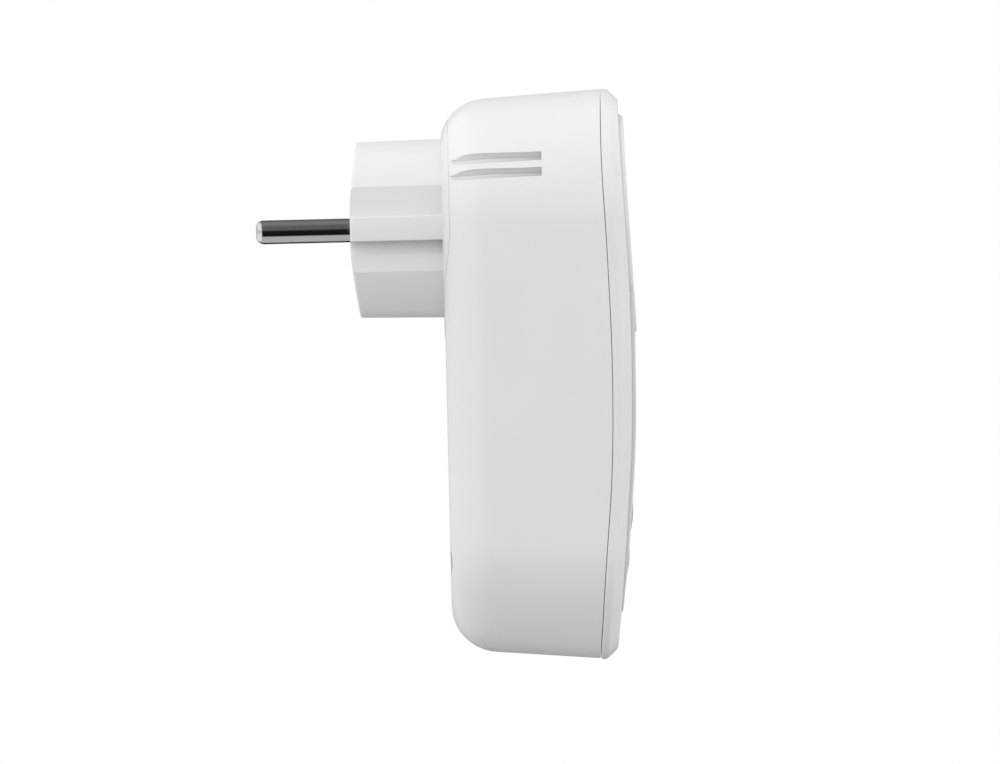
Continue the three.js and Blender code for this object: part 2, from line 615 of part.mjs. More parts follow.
const ON_MAIN = MAIN_BOARD_U[1] + GAP;       // seat for parts on the front of the main board
const BEHIND_DISPLAY = DISPLAY_BOARD_U[0] - GAP;
const ON_DISPLAY = DISPLAY_BOARD_U[1] + GAP;

// Chip body with two rows of bent legs as short blocks.
function chip([x0, x1], [u0, u1], [z0, z1], legs) {
  const body = block([x0, x1], [u0, u1], [z0, z1]);
  const pitch = (x1 - x0) / legs;
  const rows = Array.from({ length: legs }, (_, i) => {
    const x = x0 + pitch * (i + 0.5);
    return block([x - pitch / 4, x + pitch / 4], [u0 + 0.1, u0 + 0.6], [z0 - 1, z1 + 1]);
  });
  return join(body, ...rows);
}

const filterCapacitor = () => prism(roundedRectangle(9, 4.2, 0.8, 0, -39), [ON_MAIN, ON_MAIN + 13], 2);

const smoothingCapacitor = () => turned([
  [0, ON_MAIN], [4, ON_MAIN], [4, ON_MAIN + 11.4], [3.7, ON_MAIN + 12], [0, ON_MAIN + 12],
], -14, -50, 20);

const varistor = () => solid(new THREE.CylinderGeometry(5, 5, 4, 20)
  .rotateZ(Math.PI / 2).translate(14.5, -(ON_MAIN + 5.2), -48));

const fuse = () => turned([
  [0, ON_MAIN], [3.9, ON_MAIN], [3.9, ON_MAIN + 7], [3.5, ON_MAIN + 7.6], [0, ON_MAIN + 7.6],
], 3.5, -50, 20);

const shuntResistor = () => {
  const arch = block([-7, 7], [ON_MAIN, ON_MAIN + 4.5], [-31.4, -29.6]);
  return cut(arch, block([-5.8, 5.8], [ON_MAIN - 1, ON_MAIN + 3.3], [-32, -29]));
};

const meteringChip = () => chip([-6, 5], [ON_MAIN, ON_MAIN + 1.9], [-63, -59], 6);

// Three button cells in one sleeve.
const backupBattery = () => solid(new THREE.CylinderGeometry(5.6, 5.6, 17, 24)
  .rotateZ(Math.PI / 2).translate(-0.5, -(ON_MAIN + 5.8), -70));

function boardConnector() {
  const [x0, pitch, ways, z] = [12, 2, 4, -60];
  const bar = block([x0 - 1, x0 + pitch * (ways - 1) + 1], [ON_MAIN, ON_MAIN + 3], [z - 1.2, z + 1.2]);
  const pins = Array.from({ length: ways }, (_, i) => block(
    [x0 + pitch * i - 0.3, x0 + pitch * i + 0.3], [ON_MAIN + 1, BEHIND_DISPLAY], [z - 0.3, z + 0.3]));
  return join(bar, ...pins);
}

const displayChip = () => chip([-7, 7], [BEHIND_DISPLAY - 1.6, BEHIND_DISPLAY], [-62, -52], 8);
const crystal = () =>
  prism(roundedRectangle(1.5, 4, 1.4, 12.5, -50), [BEHIND_DISPLAY - 3, BEHIND_DISPLAY], 4);

// ---------------------------------------------------------------- display

const GLASS_U = [50.2, 52];

const lcdGlass = () => block([-GLASS.halfWidth, GLASS.halfWidth], GLASS_U,
  [WINDOW.z - GLASS.halfHeight, WINDOW.z + GLASS.halfHeight]);

// Open frame around the glass that stands on the display board.
function lcdHolder() {
  const [w, h, rim] = [GLASS.halfWidth + GAP, GLASS.halfHeight + GAP, 0.8];
  const frame = (grow, depth) =>
    block([-w - grow, w + grow], depth, [WINDOW.z - h - grow, WINDOW.z + h + grow]);
  const posts = SCREW_POSTS.map(({ x, z }) => rod(POST_RADIUS, [40, 60], x, z, 20));
  const shelf = cut(frame(rim, [ON_DISPLAY, GLASS_U[0] - GAP]), frame(-4.2, [40, 60]));
  const wall = cut(frame(rim, [ON_DISPLAY, GLASS_U[1]]), frame(0, [40, 60]));
  return cut(join(shelf, wall), contactStripSpace(1), contactStripSpace(-1), ...posts);
}

const stripZ = (sign) => WINDOW.z + sign * (GLASS.halfHeight - 2.2);
const contactStripSpace = (sign) => block([-17.3, 17.3], [40, 60], [stripZ(sign) - 1.3, stripZ(sign) + 1.3]);
const contactStrip = (sign) =>
  block([-17, 17], [ON_DISPLAY, GLASS_U[0] - GAP], [stripZ(sign) - 1, stripZ(sign) + 1]);

// ---------------------------------------------------------------- keys

// Key cap nearly flush with the panel, with a rim behind the cover and a plunger.
function keyCap(key) {
  const proud = 0.15;
  const rimRearU = faceU(key.z) - WALL - 2.4;
  const cap = common(prism(keyOpening(key, 0), [rimRearU, FRONT_LIMIT_U], 2), behindPanel(proud));
  const rimShape = roundedRectangle(KEY.halfWidth + 0.9, KEY.halfHeight + 0.9, 3, key.x, key.z);
  const rim = common(prism(rimShape, [rimRearU, FRONT_LIMIT_U], 1), behindFace(-WALL - GAP));
  const plunger = rod(1.5, [STEM_TOP_U + GAP, rimRearU + 0.5], key.x, key.z, 12);
  return join(cap, rim, plunger);
}

const STEM_TOP_U = 48.6;
const SWITCH_BODY_U = [ON_DISPLAY, 47.6];

// Push switch under a key, with a round well for its stem.
function keySwitch(key) {
  const body = block([key.x - 3, key.x + 3], SWITCH_BODY_U, [key.z - 3, key.z + 3]);
  return cut(body, rod(1.6, [SWITCH_BODY_U[1] - 1.5, 60], key.x, key.z, 12));
}

const switchStem = (key) =>
  rod(1.3, [SWITCH_BODY_U[1] - 1.5 + KEY_TRAVEL + 0.2, STEM_TOP_U], key.x, key.z, 12);

// ---------------------------------------------------------------- screws

function screw(x, z, { headRadius, headHeight, shankRadius, length }, seatU, facing) {
  // facing +1 drives towards the front, -1 towards the rear.
  const at = (d) => seatU + facing * d;
  const body = turned([
    [0, at(-headHeight)], [headRadius - 0.4, at(-headHeight)], [headRadius, at(-headHeight + 0.5)],
    [headRadius, at(0)], [shankRadius, at(0)], [shankRadius, at(length - 1)],
    [0.3, at(length)], [0, at(length)],
  ], x, z, 10);
  const slotDepth = ordered(at(-headHeight - 1), at(-headHeight / 2));
  const [reach, half] = [headRadius * 0.62, 0.35];
  return cut(body,
    block([x - reach, x + reach], slotDepth, [z - half, z + half]),
    block([x - half, x + half], slotDepth, [z - reach, z + reach]));
}

const CASE_SCREW = { headRadius: 2.8, headHeight: 2.1, shankRadius: 1.15, length: 16 };
const BOARD_SCREW = { headRadius: 2.1, headHeight: 1.4, shankRadius: 0.9, length: 5 };

const caseScrew = ({ x, z }) => screw(x, z, CASE_SCREW, postHead.seatU - GAP, 1);
const boardScrew = (z) => screw(0, z, BOARD_SCREW, MAIN_BOARD_U[1] + GAP, -1);

// ---------------------------------------------------------------- assembly

const meter = new THREE.Group();
meter.name = 'plug_in_power_meter';

function place(name, body, look) {
  const mesh = new THREE.Mesh(geometryOf(body), look);
  mesh.name = name;
  meter.add(mesh);
}

place('rear_housing', rearHousing(), WHITE_PLASTIC);
place('plug_insert', plugInsert(), WHITE_PLASTIC);
place('pin_live', plugPin(-1), NICKEL);
place('pin_neutral', plugPin(1), NICKEL);
place('plug_earth_strap', plugEarthStrap(), NICKEL);
place('front_cover', frontCover(), WHITE_PLASTIC);
place('front_panel', frontPanel(), GREY_PANEL);
place('window_lens', windowLens(), CLEAR);
place('socket_insert', socketInsert(), WHITE_PLASTIC);
place('socket_earth_bracket', socketEarthBracket(), NICKEL);
place('earth_link', earthLink(), BRASS);
place('shutter', shutter(), INNER_PLASTIC);
place('shutter_spring', shutterSpring(), STEEL);
place('contact_carrier', contactCarrier(), INNER_PLASTIC);
place('socket_contact_live', socketContact(-1, 17.9), BRASS);
place('socket_contact_neutral', socketContact(1, 16.2), BRASS);
place('bus_strip_live', busStrip(-PIN_X + 0.7, 14.5, -3.8), BRASS);
place('bus_strip_load', busStrip(-PIN_X + 2.9, 17.3, -2.5), BRASS);
place('bus_strip_neutral', busStrip(PIN_X - 0.9, 15.6, -2.5), BRASS);
place('shunt_resistor', shuntResistor(), STEEL);
place('main_board', mainBoard(), BOARD);
place('filter_capacitor', filterCapacitor(), CAPACITOR_YELLOW);
place('smoothing_capacitor', smoothingCapacitor(), BLACK_PLASTIC);
place('varistor', varistor(), VARISTOR_BLUE);
place('fuse', fuse(), BLACK_PLASTIC);
place('metering_chip', meteringChip(), BLACK_PLASTIC);
place('backup_battery', backupBattery(), SLEEVE_GREEN);
place('board_connector', boardConnector(), BLACK_PLASTIC);
place('display_board', displayBoard(), BOARD);
place('display_chip', displayChip(), BLACK_PLASTIC);
place('crystal', crystal(), STEEL);
place('lcd_glass', lcdGlass(), LCD_GREY);
place('lcd_holder', lcdHolder(), INNER_PLASTIC);
place('contact_strip_upper', contactStrip(1), RUBBER);
place('contact_strip_lower', contactStrip(-1), RUBBER);
for (const key of KEYS) {
  place(`key_${key.name}`, keyCap(key), GREY_KEY);
  place(`key_switch_${key.name}`, keySwitch(key), BLACK_PLASTIC);
  place(`switch_stem_${key.name}`, switchStem(key), INNER_PLASTIC);
}
for (const post of SCREW_POSTS) place(`case_screw_${post.name}`, caseScrew(post), STEEL);
place('board_screw_upper', boardScrew(BOARD_SCREW_Z[0]), STEEL);
place('board_screw_lower', boardScrew(BOARD_SCREW_Z[1]), STEEL);

export default meter;
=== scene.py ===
"""Looks of the plug-in power meter: fine shells, materials, studio and camera.

Lengths are in millimetres in the object's frame until at() turns them into Blender's metres. u is the
distance in front of the plug's end face, so y = -u; x is to the right seen from the front and z is up.
"""

import json
import math

import bmesh
import bpy
from mathutils import Matrix, Vector


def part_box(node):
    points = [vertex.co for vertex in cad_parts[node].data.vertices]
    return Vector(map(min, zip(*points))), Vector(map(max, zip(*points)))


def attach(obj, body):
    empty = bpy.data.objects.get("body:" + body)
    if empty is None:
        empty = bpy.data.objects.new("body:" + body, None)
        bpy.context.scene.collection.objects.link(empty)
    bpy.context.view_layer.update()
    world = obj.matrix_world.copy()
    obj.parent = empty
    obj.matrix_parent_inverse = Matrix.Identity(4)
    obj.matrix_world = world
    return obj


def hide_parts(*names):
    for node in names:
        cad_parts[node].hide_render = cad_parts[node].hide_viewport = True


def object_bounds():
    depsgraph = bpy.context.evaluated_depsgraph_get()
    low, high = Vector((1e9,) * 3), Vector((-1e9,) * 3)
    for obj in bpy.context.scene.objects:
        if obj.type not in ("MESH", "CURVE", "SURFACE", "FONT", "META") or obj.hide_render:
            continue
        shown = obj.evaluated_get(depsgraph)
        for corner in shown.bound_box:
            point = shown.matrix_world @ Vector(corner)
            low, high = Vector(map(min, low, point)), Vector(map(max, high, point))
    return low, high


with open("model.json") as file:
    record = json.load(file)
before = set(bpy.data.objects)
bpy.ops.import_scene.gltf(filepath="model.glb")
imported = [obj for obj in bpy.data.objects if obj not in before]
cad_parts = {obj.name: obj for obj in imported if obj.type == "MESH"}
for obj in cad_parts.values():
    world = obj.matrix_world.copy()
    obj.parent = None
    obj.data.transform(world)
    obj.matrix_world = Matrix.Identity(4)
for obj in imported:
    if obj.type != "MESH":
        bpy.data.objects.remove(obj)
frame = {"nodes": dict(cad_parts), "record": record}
cad_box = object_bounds()

MM = 0.001


def at(x, u, z):
    return Vector((x, -u, z)) * MM


def node_mm(node):
    """Lowest and highest x, u and z of a CAD node, in millimetres."""
    low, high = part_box(node)
    return ((low.x / MM, high.x / MM), (-high.y / MM, -low.y / MM), (low.z / MM, high.z / MM))


# ------------------------------------------------------------------ driving dimensions

HALF_WIDTH = node_mm("front_cover")[0][1]
REAR_U = node_mm("rear_housing")[1][0]
SEAM_U = 52
BOTTOM_Z = -89.2
CORNER_RADIUS = 23
REAR_FILLET = 8.9
SIDE_DRAFT = 0.057
BOTTOM_DRAFT = 0.085
WALL = 2
HOUSING_WALL = 3
REAR_WALL = 2.2
GAP = 0.3
SEAM_PLAY = 0.06
CHAMFER = 2.2
EDGE = 0.1

RING_RADIUS = 22.5
RING_MEAN_U = 57.2
RING_TILT = 0.0495
CUP_RADIUS = 19.7
CUP_WALL = 1.7
CUP_FLOOR_U = 39.6
LAND_X = 16.9

DISC_RADIUS = 22.2
DISC_PLAY = 0.015
PIN_RADIUS = 2.4
PIN_X = 9.5
FLAT_X = 16.05
FLAT_BASE_X = 16.4
FLAT_HALF_HEIGHT, RIB_HALF_HEIGHT, RIB_FILLET = 9.6, 2.4, 0.4
UNDERCUT, UNDERCUT_TOP, UNDERCUT_END = 1.8, 2.5, 5.2
PLUG_TIP_RADIUS, PLUG_BASE_RADIUS = 18.3, 18.65
NOSE_EDGE = 0.6

PANEL_HALF_WIDTH, PANEL_CORNER, PANEL_TOP_Z, PANEL_BOTTOM_Z = 23, 17, -14, -79.5
PANEL_SEAT = -0.7
PANEL_PLAY = 0.2
LENS_SINK, KEY_PROUD = 0.1, 0.1
WINDOW = {"z": -42.5, "half_width": 17.5, "half_height": 8.5, "radius": 2.2}
KEY_HALF_WIDTH, KEY_HALF_HEIGHT = 4.6, 2.7
KEY_NAMES = ("set", "function", "cost", "down", "up")

# Lines in the side view, as (z, u) points from the top down.
FACE_LINE = [
    (34, 55.15), (12, 55.9), (-10, 56.9), (-30, 57.1), (-46, 56.65), (-64, 55.25), (-80, 53.75),
    (-94, 52.1),
]
PANEL_LINE = [
    (34, 55.9), (12, 56.9), (-8, 57.9), (-26, 57.9), (-42, 57.65), (-56, 56.7), (-70, 55.3),
    (-80, 54.05), (-94, 52.3),
]
SEAM_LINE = [(34, 52), (14, 51.75), (-6, 52.5), (-28, 53), (-50, 52.5), (-72, 50.65), (-94, 48.9)]

# Cutters for the front openings start clear behind the front wall and end clear in front of it.
CUT_FROM_U, CUT_TO_U = 45, 62

TOP_STEPS, SIDE_STEPS, CORNER_STEPS, COLUMNS = 40, 22, 24, 14
SPAN_STEPS, FILLET_STEPS = 12, 14
ROUND = 128
FINE_SIDES = 48


# ------------------------------------------------------------------ lines and outlines

def smooth_line(points):
    """Catmull-Rom curve through (z, u) points, as a function from z to u."""
    samples = []
    padded = [points[0], *points, points[-1]]
    for a, b, c, d in zip(padded, padded[1:], padded[2:], padded[3:]):
        for k in range(SPAN_STEPS):
            t = k / SPAN_STEPS
            samples.append(tuple(
                0.5 * (2 * q + (r - p) * t + (2 * p - 5 * q + 4 * r - s) * t**2
                       + (3 * q - p - 3 * r + s) * t**3)
                for p, q, r, s in zip(a, b, c, d)))
    samples.append(points[-1])

    def u_at(z):
        for (z0, u0), (z1, u1) in zip(samples, samples[1:]):
            if z1 <= z <= z0:
                return u0 + (u1 - u0) * (z - z0) / (z1 - z0)
        raise ValueError(z)

    return u_at


face_u = smooth_line(FACE_LINE)
panel_u = smooth_line(PANEL_LINE)
seam_u = smooth_line(SEAM_LINE)


def steps(start, end, count):
    """count + 1 evenly spaced values."""
    return [start + (end - start) * k / count for k in range(count + 1)]


def tall_outline(radius, corner, bottom_z):
    """Half circle above, straight sides, rounded bottom: (x, z) points clockwise from the top."""
    corner_z = bottom_z + corner
    flat = radius - corner
    right = [(radius * math.sin(a), radius * math.cos(a)) for a in steps(0, math.pi / 2, TOP_STEPS)]
    right += [(radius, z) for z in steps(0, corner_z, SIDE_STEPS)[1:]]
    right += [(flat + corner * math.cos(a), corner_z - corner * math.sin(a))
              for a in steps(0, math.pi / 2, CORNER_STEPS)[1:]]
    bottom = [(x, bottom_z) for x in steps(flat, -flat, COLUMNS)[1:-1]]
    left = [(-x, z) for x, z in reversed(right[1:])]
    return right + bottom + left


def outline(inset):
    """Case outline at the seam, moved inwards."""
    return tall_outline(HALF_WIDTH - inset, CORNER_RADIUS - inset, BOTTOM_Z + inset)


def panel_outline(grow):
    return tall_outline(PANEL_HALF_WIDTH + grow, PANEL_CORNER + grow, PANEL_BOTTOM_Z - grow)


SIDE_COUNT = TOP_STEPS + SIDE_STEPS + CORNER_STEPS


def drafted(x, u, z):
    """Narrows the outline behind the seam."""
    behind = max(0.0, SEAM_U - u)
    across = 1 - SIDE_DRAFT * behind / HALF_WIDTH
    down = 1 - BOTTOM_DRAFT * behind / -BOTTOM_Z
    return x * across, u, z * (across if z > 0 else down)


def ring(inset, u_of):
    """Outline ring at the depth u_of(z), drafted."""
    return [drafted(x, u_of(z), z) for x, z in outline(inset)]


# ------------------------------------------------------------------ meshes

ROUND_ANGLE = 30
WELD_DISTANCE = 0.004


def shade_round(mesh, angle=ROUND_ANGLE):
    """Smooth faces, sharp edges above the angle in degrees."""
    mesh.shade_smooth()
    mesh.set_sharp_from_angle(angle=math.radians(angle))


def mesh_object(name, bm):
    """Turns a closed bmesh into an object with smooth faces and sharp edges."""
    bmesh.ops.recalc_face_normals(bm, faces=bm.faces)
    mesh = bpy.data.meshes.new(name)
    bm.to_mesh(mesh)
    bm.free()
    shade_round(mesh)
    obj = bpy.data.objects.new(name, mesh)
    bpy.context.scene.collection.objects.link(obj)
    return obj


def loft(bm, rings):
    """Joins rings of (x, u, z) points with quads and returns the rings of vertices."""
    made = [[bm.verts.new(at(*p)) for p in points] for points in rings]
    for low, high in zip(made, made[1:]):
        for j in range(len(low)):
            k = (j + 1) % len(low)
            bm.faces.new((low[j], low[k], high[k], high[j]))
    return made


def cap_rows(bm, rim, surface):
    """Closes an outline ring with rows that run across x at the depth surface(x, z)."""
    count = len(rim)
    last = [rim[0]]
    for i in range(1, SIDE_COUNT + 1):
        if i == SIDE_COUNT:
            row = rim[i:count - i + 1]
        else:
            right, left = rim[i].co, rim[count - i].co
            xs = steps(right.x, left.x, COLUMNS)[1:-1]
            z = right.z / MM
            middle = [bm.verts.new(at(x / MM, surface(x / MM, z), z)) for x in xs]
            row = [rim[i], *middle, rim[count - i]]
        for j in range(COLUMNS):
            if len(last) == 1:
                bm.faces.new((last[0], row[j], row[j + 1]))
            else:
                bm.faces.new((last[j], row[j], row[j + 1], last[j + 1]))
        last = row


def prism(bm, points, u0, u1):
    """Closed prism through the depths u0 to u1 from (x, z) points."""
    ends = loft(bm, [[(x, u, z) for x, z in points] for u in (u0, u1)])
    for end in ends:
        bm.faces.new(end)


def circle(radius, x=0.0, z=0.0, sides=64):
    return [(x + radius * math.sin(a), z + radius * math.cos(a))
            for a in steps(0, 2 * math.pi, sides)[:-1]]


def rounded_rectangle(half_width, half_height, radius, x=0.0, z=0.0, corner_steps=8):
    points = []
    for quarter, (sx, sz) in enumerate(((1, 1), (-1, 1), (-1, -1), (1, -1))):
        cx, cz = x + sx * (half_width - radius), z + sz * (half_height - radius)
        for a in steps(quarter * math.pi / 2, (quarter + 1) * math.pi / 2, corner_steps):
            points.append((cx + radius * math.cos(a), cz + radius * math.sin(a)))
    return points


def box(bm, xs, us, zs):
    prism(bm, [(xs[0], zs[0]), (xs[1], zs[0]), (xs[1], zs[1]), (xs[0], zs[1])], *us)


def lathe(bm, profile, x=0.0, z=0.0, sides=ROUND, shift=lambda u, height: 0.0):
    """Turns a (radius, u) profile about the depth axis; its two ends lie on the axis."""
    inner = profile[1:-1]
    rings = [[(x + r * math.sin(a), u + shift(u, r * math.cos(a)), z + r * math.cos(a))
              for a in steps(0, 2 * math.pi, sides)[:-1]] for r, u in inner]
    made = loft(bm, rings)
    for end, (_, u) in ((made[0], profile[0]), (made[-1], profile[-1])):
        tip = bm.verts.new(at(x, u, z))
        for j in range(sides):
            bm.faces.new((end[j], end[(j + 1) % sides], tip))


def arc(cx, cu, radius, start, end, count):
    """(radius, u) points of an arc in a lathe profile; degrees from +radius towards +u."""
    return [(cx + radius * math.cos(math.radians(a)), cu + radius * math.sin(math.radians(a)))
            for a in steps(start, end, count)]


def combine(obj, operation, build):
    """Boolean of obj with the closed solids that build(bm) makes, or with a finished tool object."""
    tool = build
    if callable(build):
        bm = bmesh.new()
        build(bm)
        tool = mesh_object("tool", bm)
    modifier = obj.modifiers.new("boolean", "BOOLEAN")
    modifier.operation, modifier.solver, modifier.object = operation, "EXACT", tool
    graph = bpy.context.evaluated_depsgraph_get()
    result = bpy.data.meshes.new_from_object(obj.evaluated_get(graph))
    obj.modifiers.clear()
    obj.data = result
    bpy.data.objects.remove(tool)


def finish_piece(obj, body, nodes, material, round_angle=ROUND_ANGLE):
    """Shades a piece, gives it its material and ties it to the frame."""
    bm = bmesh.new()
    bm.from_mesh(obj.data)
    bmesh.ops.remove_doubles(bm, verts=bm.verts, dist=WELD_DISTANCE * MM)
    bm.to_mesh(obj.data)
    bm.free()
    shade_round(obj.data, round_angle)
    weighted = obj.modifiers.new("normals", "WEIGHTED_NORMAL")
    weighted.keep_sharp = True
    obj.data.materials.clear()
    obj.data.materials.append(material)
    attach(obj, body)
    if nodes:
        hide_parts(*nodes)
    return obj


# ------------------------------------------------------------------ materials

def shader(name):
    material = bpy.data.materials.new(name)
    material.use_nodes = True
    tree = material.node_tree
    return material, tree, tree.nodes["Principled BSDF"]


def noise(tree, scale, detail=2.0, stretch=(1, 1, 1)):
    """Noise in the object's own coordinates; scale counts features per metre."""
    place = tree.nodes.new("ShaderNodeTexCoord")
    mapping = tree.nodes.new("ShaderNodeMapping")
    mapping.inputs["Scale"].default_value = stretch
    texture = tree.nodes.new("ShaderNodeTexNoise")
    texture.inputs["Scale"].default_value = scale
    texture.inputs["Detail"].default_value = detail
    tree.links.new(place.outputs["Object"], mapping.inputs["Vector"])
    tree.links.new(mapping.outputs["Vector"], texture.inputs["Vector"])
    return texture.outputs["Fac"]


def spread(tree, value, low, high):
    """Maps noise around 0.5 to the range low to high."""
    node = tree.nodes.new("ShaderNodeMapRange")
    node.inputs["From Min"].default_value = 0.3
    node.inputs["From Max"].default_value = 0.7
    node.inputs["To Min"].default_value = low
    node.inputs["To Max"].default_value = high
    tree.links.new(value, node.inputs["Value"])
    return node.outputs["Result"]


def tinted(tree, value, dark, light):
    """Colour between dark and light, led by value."""
    mix = tree.nodes.new("ShaderNodeMix")
    mix.data_type = "RGBA"
    mix.inputs["A"].default_value = (*dark, 1)
    mix.inputs["B"].default_value = (*light, 1)
    tree.links.new(value, mix.inputs["Factor"])
    return mix.outputs["Result"]


def grain(tree, bsdf, scale, depth, soft_edge=0.0, stretch=(1, 1, 1)):
    """Fine surface grain, depth in millimetres, on top of softened edges."""
    bump = tree.nodes.new("ShaderNodeBump")
    bump.inputs["Distance"].default_value = depth * MM
    bump.inputs["Strength"].default_value = 1.0
    tree.links.new(noise(tree, scale, 3.0, stretch), bump.inputs["Height"])
    if soft_edge:
        bevel = tree.nodes.new("ShaderNodeBevel")
        bevel.samples = 6
        bevel.inputs["Radius"].default_value = soft_edge * MM
        tree.links.new(bevel.outputs["Normal"], bump.inputs["Normal"])
    tree.links.new(bump.outputs["Normal"], bsdf.inputs["Normal"])


def plastic(name, colour, roughness, grain_depth=0.002, soft_edge=0.15, variation=0.02):
    material, tree, bsdf = shader(name)
    dark = [c * (1 - variation) for c in colour]
    light = [min(1, c * (1 + variation)) for c in colour]
    tree.links.new(tinted(tree, noise(tree, 60), dark, light), bsdf.inputs["Base Color"])
    rough = spread(tree, noise(tree, 400), roughness - 0.04, roughness + 0.04)
    tree.links.new(rough, bsdf.inputs["Roughness"])
    grain(tree, bsdf, 2500, grain_depth, soft_edge)
    return material


def metal(name, dark, light, roughness, streak=(1, 1, 1), grain_depth=0.0006):
    material, tree, bsdf = shader(name)
    bsdf.inputs["Metallic"].default_value = 1.0
    colour = tinted(tree, noise(tree, 300, stretch=streak), dark, light)
    tree.links.new(colour, bsdf.inputs["Base Color"])
    rough = spread(tree, noise(tree, 900, stretch=streak), roughness * 0.7, roughness * 1.3)
    tree.links.new(rough, bsdf.inputs["Roughness"])
    grain(tree, bsdf, 1500, grain_depth, 0.1, streak)
    return material


def circuit_board(name):
    """Green solder resist with darker copper tracks below it."""
    material, tree, bsdf = shader(name)
    place = tree.nodes.new("ShaderNodeTexCoord")
    tracks = tree.nodes.new("ShaderNodeTexBrick")
    tracks.inputs["Scale"].default_value = 350
    tracks.inputs["Mortar Size"].default_value = 0.06
    tracks.inputs["Color1"].default_value = (0.015, 0.16, 0.05, 1)
    tracks.inputs["Color2"].default_value = (0.02, 0.20, 0.06, 1)
    tracks.inputs["Mortar"].default_value = (0.01, 0.09, 0.03, 1)
    tree.links.new(place.outputs["Object"], tracks.inputs["Vector"])
    tree.links.new(tracks.outputs["Color"], bsdf.inputs["Base Color"])
    tree.links.new(spread(tree, noise(tree, 500), 0.3, 0.42), bsdf.inputs["Roughness"])
    grain(tree, bsdf, 800, 0.004)
    return material


def clear_lens(name):
    material, tree, bsdf = shader(name)
    bsdf.inputs["Transmission Weight"].default_value = 1.0
    bsdf.inputs["IOR"].default_value = 1.46
    tree.links.new(tinted(tree, noise(tree, 40), (0.93, 0.96, 0.96), (0.97, 0.99, 0.99)),
                   bsdf.inputs["Base Color"])
    tree.links.new(spread(tree, noise(tree, 700), 0.01, 0.03), bsdf.inputs["Roughness"])
    return material


def display_face(name):
    """Grey-green display glass with a faint cell texture."""
    material, tree, bsdf = shader(name)
    tree.links.new(tinted(tree, noise(tree, 90), (0.30, 0.35, 0.27), (0.36, 0.41, 0.32)),
                   bsdf.inputs["Base Color"])
    tree.links.new(spread(tree, noise(tree, 900), 0.16, 0.22), bsdf.inputs["Roughness"])
    grain(tree, bsdf, 3000, 0.0005)
    return material


WHITE = (0.80, 0.80, 0.79)
MATERIALS = {
    "white_plastic": plastic("white_plastic", WHITE, 0.40, soft_edge=0.2),
    "panel_plastic": plastic("panel_plastic", (0.76, 0.76, 0.76), 0.36, soft_edge=0.2),
    "key_plastic": plastic("key_plastic", (0.45, 0.48, 0.51), 0.45),
    "inner_plastic": plastic("inner_plastic", (0.68, 0.64, 0.54), 0.5, 0.004),
    "black_plastic": plastic("black_plastic", (0.018, 0.018, 0.019), 0.42, 0.004, variation=0.15),
    "nickel": metal("nickel", (0.56, 0.55, 0.53), (0.72, 0.71, 0.69), 0.13, (1, 0.03, 1), 0.0015),
    "brass": metal("brass", (0.66, 0.46, 0.17), (0.78, 0.58, 0.26), 0.28, (1, 0.1, 1)),
    "steel": metal("steel", (0.48, 0.49, 0.50), (0.62, 0.63, 0.64), 0.32),
    "circuit_board": circuit_board("circuit_board"),
    "clear_lens": clear_lens("clear_lens"),
    "display_glass": display_face("display_glass"),
    "rubber": plastic("rubber", (0.03, 0.03, 0.03), 0.8, 0.01, variation=0.1),
    "capacitor_yellow": plastic("capacitor_yellow", (0.70, 0.45, 0.05), 0.35, variation=0.04),
    "varistor_blue": plastic("varistor_blue", (0.03, 0.12, 0.42), 0.3, variation=0.1),
    "sleeve_green": plastic("sleeve_green", (0.05, 0.30, 0.12), 0.3, variation=0.06),
}
PRINT = plastic("print", (0.03, 0.035, 0.04), 0.5, variation=0.1)
SEGMENT = plastic("segment", (0.012, 0.014, 0.012), 0.3, variation=0.1)


def dress_cad_nodes():
    """Gives every CAD node the procedural material of its slot."""
    slots = {s["node"]: s["material_slot"] for s in frame["record"]["subparts"]}
    for node, obj in frame["nodes"].items():
        obj.data.materials.clear()
        obj.data.materials.append(MATERIALS[slots[node]])


# ------------------------------------------------------------------ rear housing

# Each groove from its pointed rear end forward, with z given for the upper groove: depth u, x of the
# deepest line, upper edge, deepest line and lower edge.
GROOVE = [
    (20.0, 17.9, 13.60, 13.50, 13.30), (21.2, 18.5, 13.80, 13.50, 13.00),
    (22.0, 19.2, 14.10, 13.55, 12.85), (23.2, 19.7, 14.50, 13.60, 12.80),
    (24.8, 20.2, 14.83, 13.65, 12.85), (27.0, 20.5, 14.98, 13.80, 12.95),
    (29.0, 20.6, 15.00, 13.90, 13.05), (35.2, 20.75, 15.00, 13.90, 13.25),
    (39.5, 20.85, 15.08, 13.80, 13.36),
]
FLOOR_SLANT, LEDGE_REAR, LEDGE_FRONT = 0.5, 0.6, 0.4
LOWER_GROOVE = {"drop": 3.2, "floor": 1.7}
GROOVE_OUTER_X = 34
SCREW_NODES = [f"case_screw_{v}_{h}" for v in ("upper", "lower") for h in ("left", "right")]
COUNTERBORE, POST_RADIUS, POST_SEAT_U, POST_FRONT_U = 3.3, 4.4, 25.2, 33
DISC_DEPTH = 6


def screw_places():
    """(x, z) of each case screw, from its CAD node."""
    places = []
    for node in SCREW_NODES:
        xs, _, zs = node_mm(node)
        places.append((sum(xs) / 2, sum(zs) / 2))
    return places


def rear_rings(inset, rear_u, fillet):
    """Rings of the rounded rear edge, from the flat rear wall forward."""
    made = []
    for a in steps(0, math.pi / 2, FILLET_STEPS):
        u = rear_u + fillet * (1 - math.cos(a))
        made.append(ring(inset + fillet * (1 - math.sin(a)), lambda z, u=u: u))
    return made


def side_rings(inset, from_u, line, offset, count):
    """Rings along the side walls up to a line of depths."""
    return [ring(inset, lambda z, t=t: from_u + (line(z) + offset - from_u) * t)
            for t in steps(0, 1, count)[1:]]


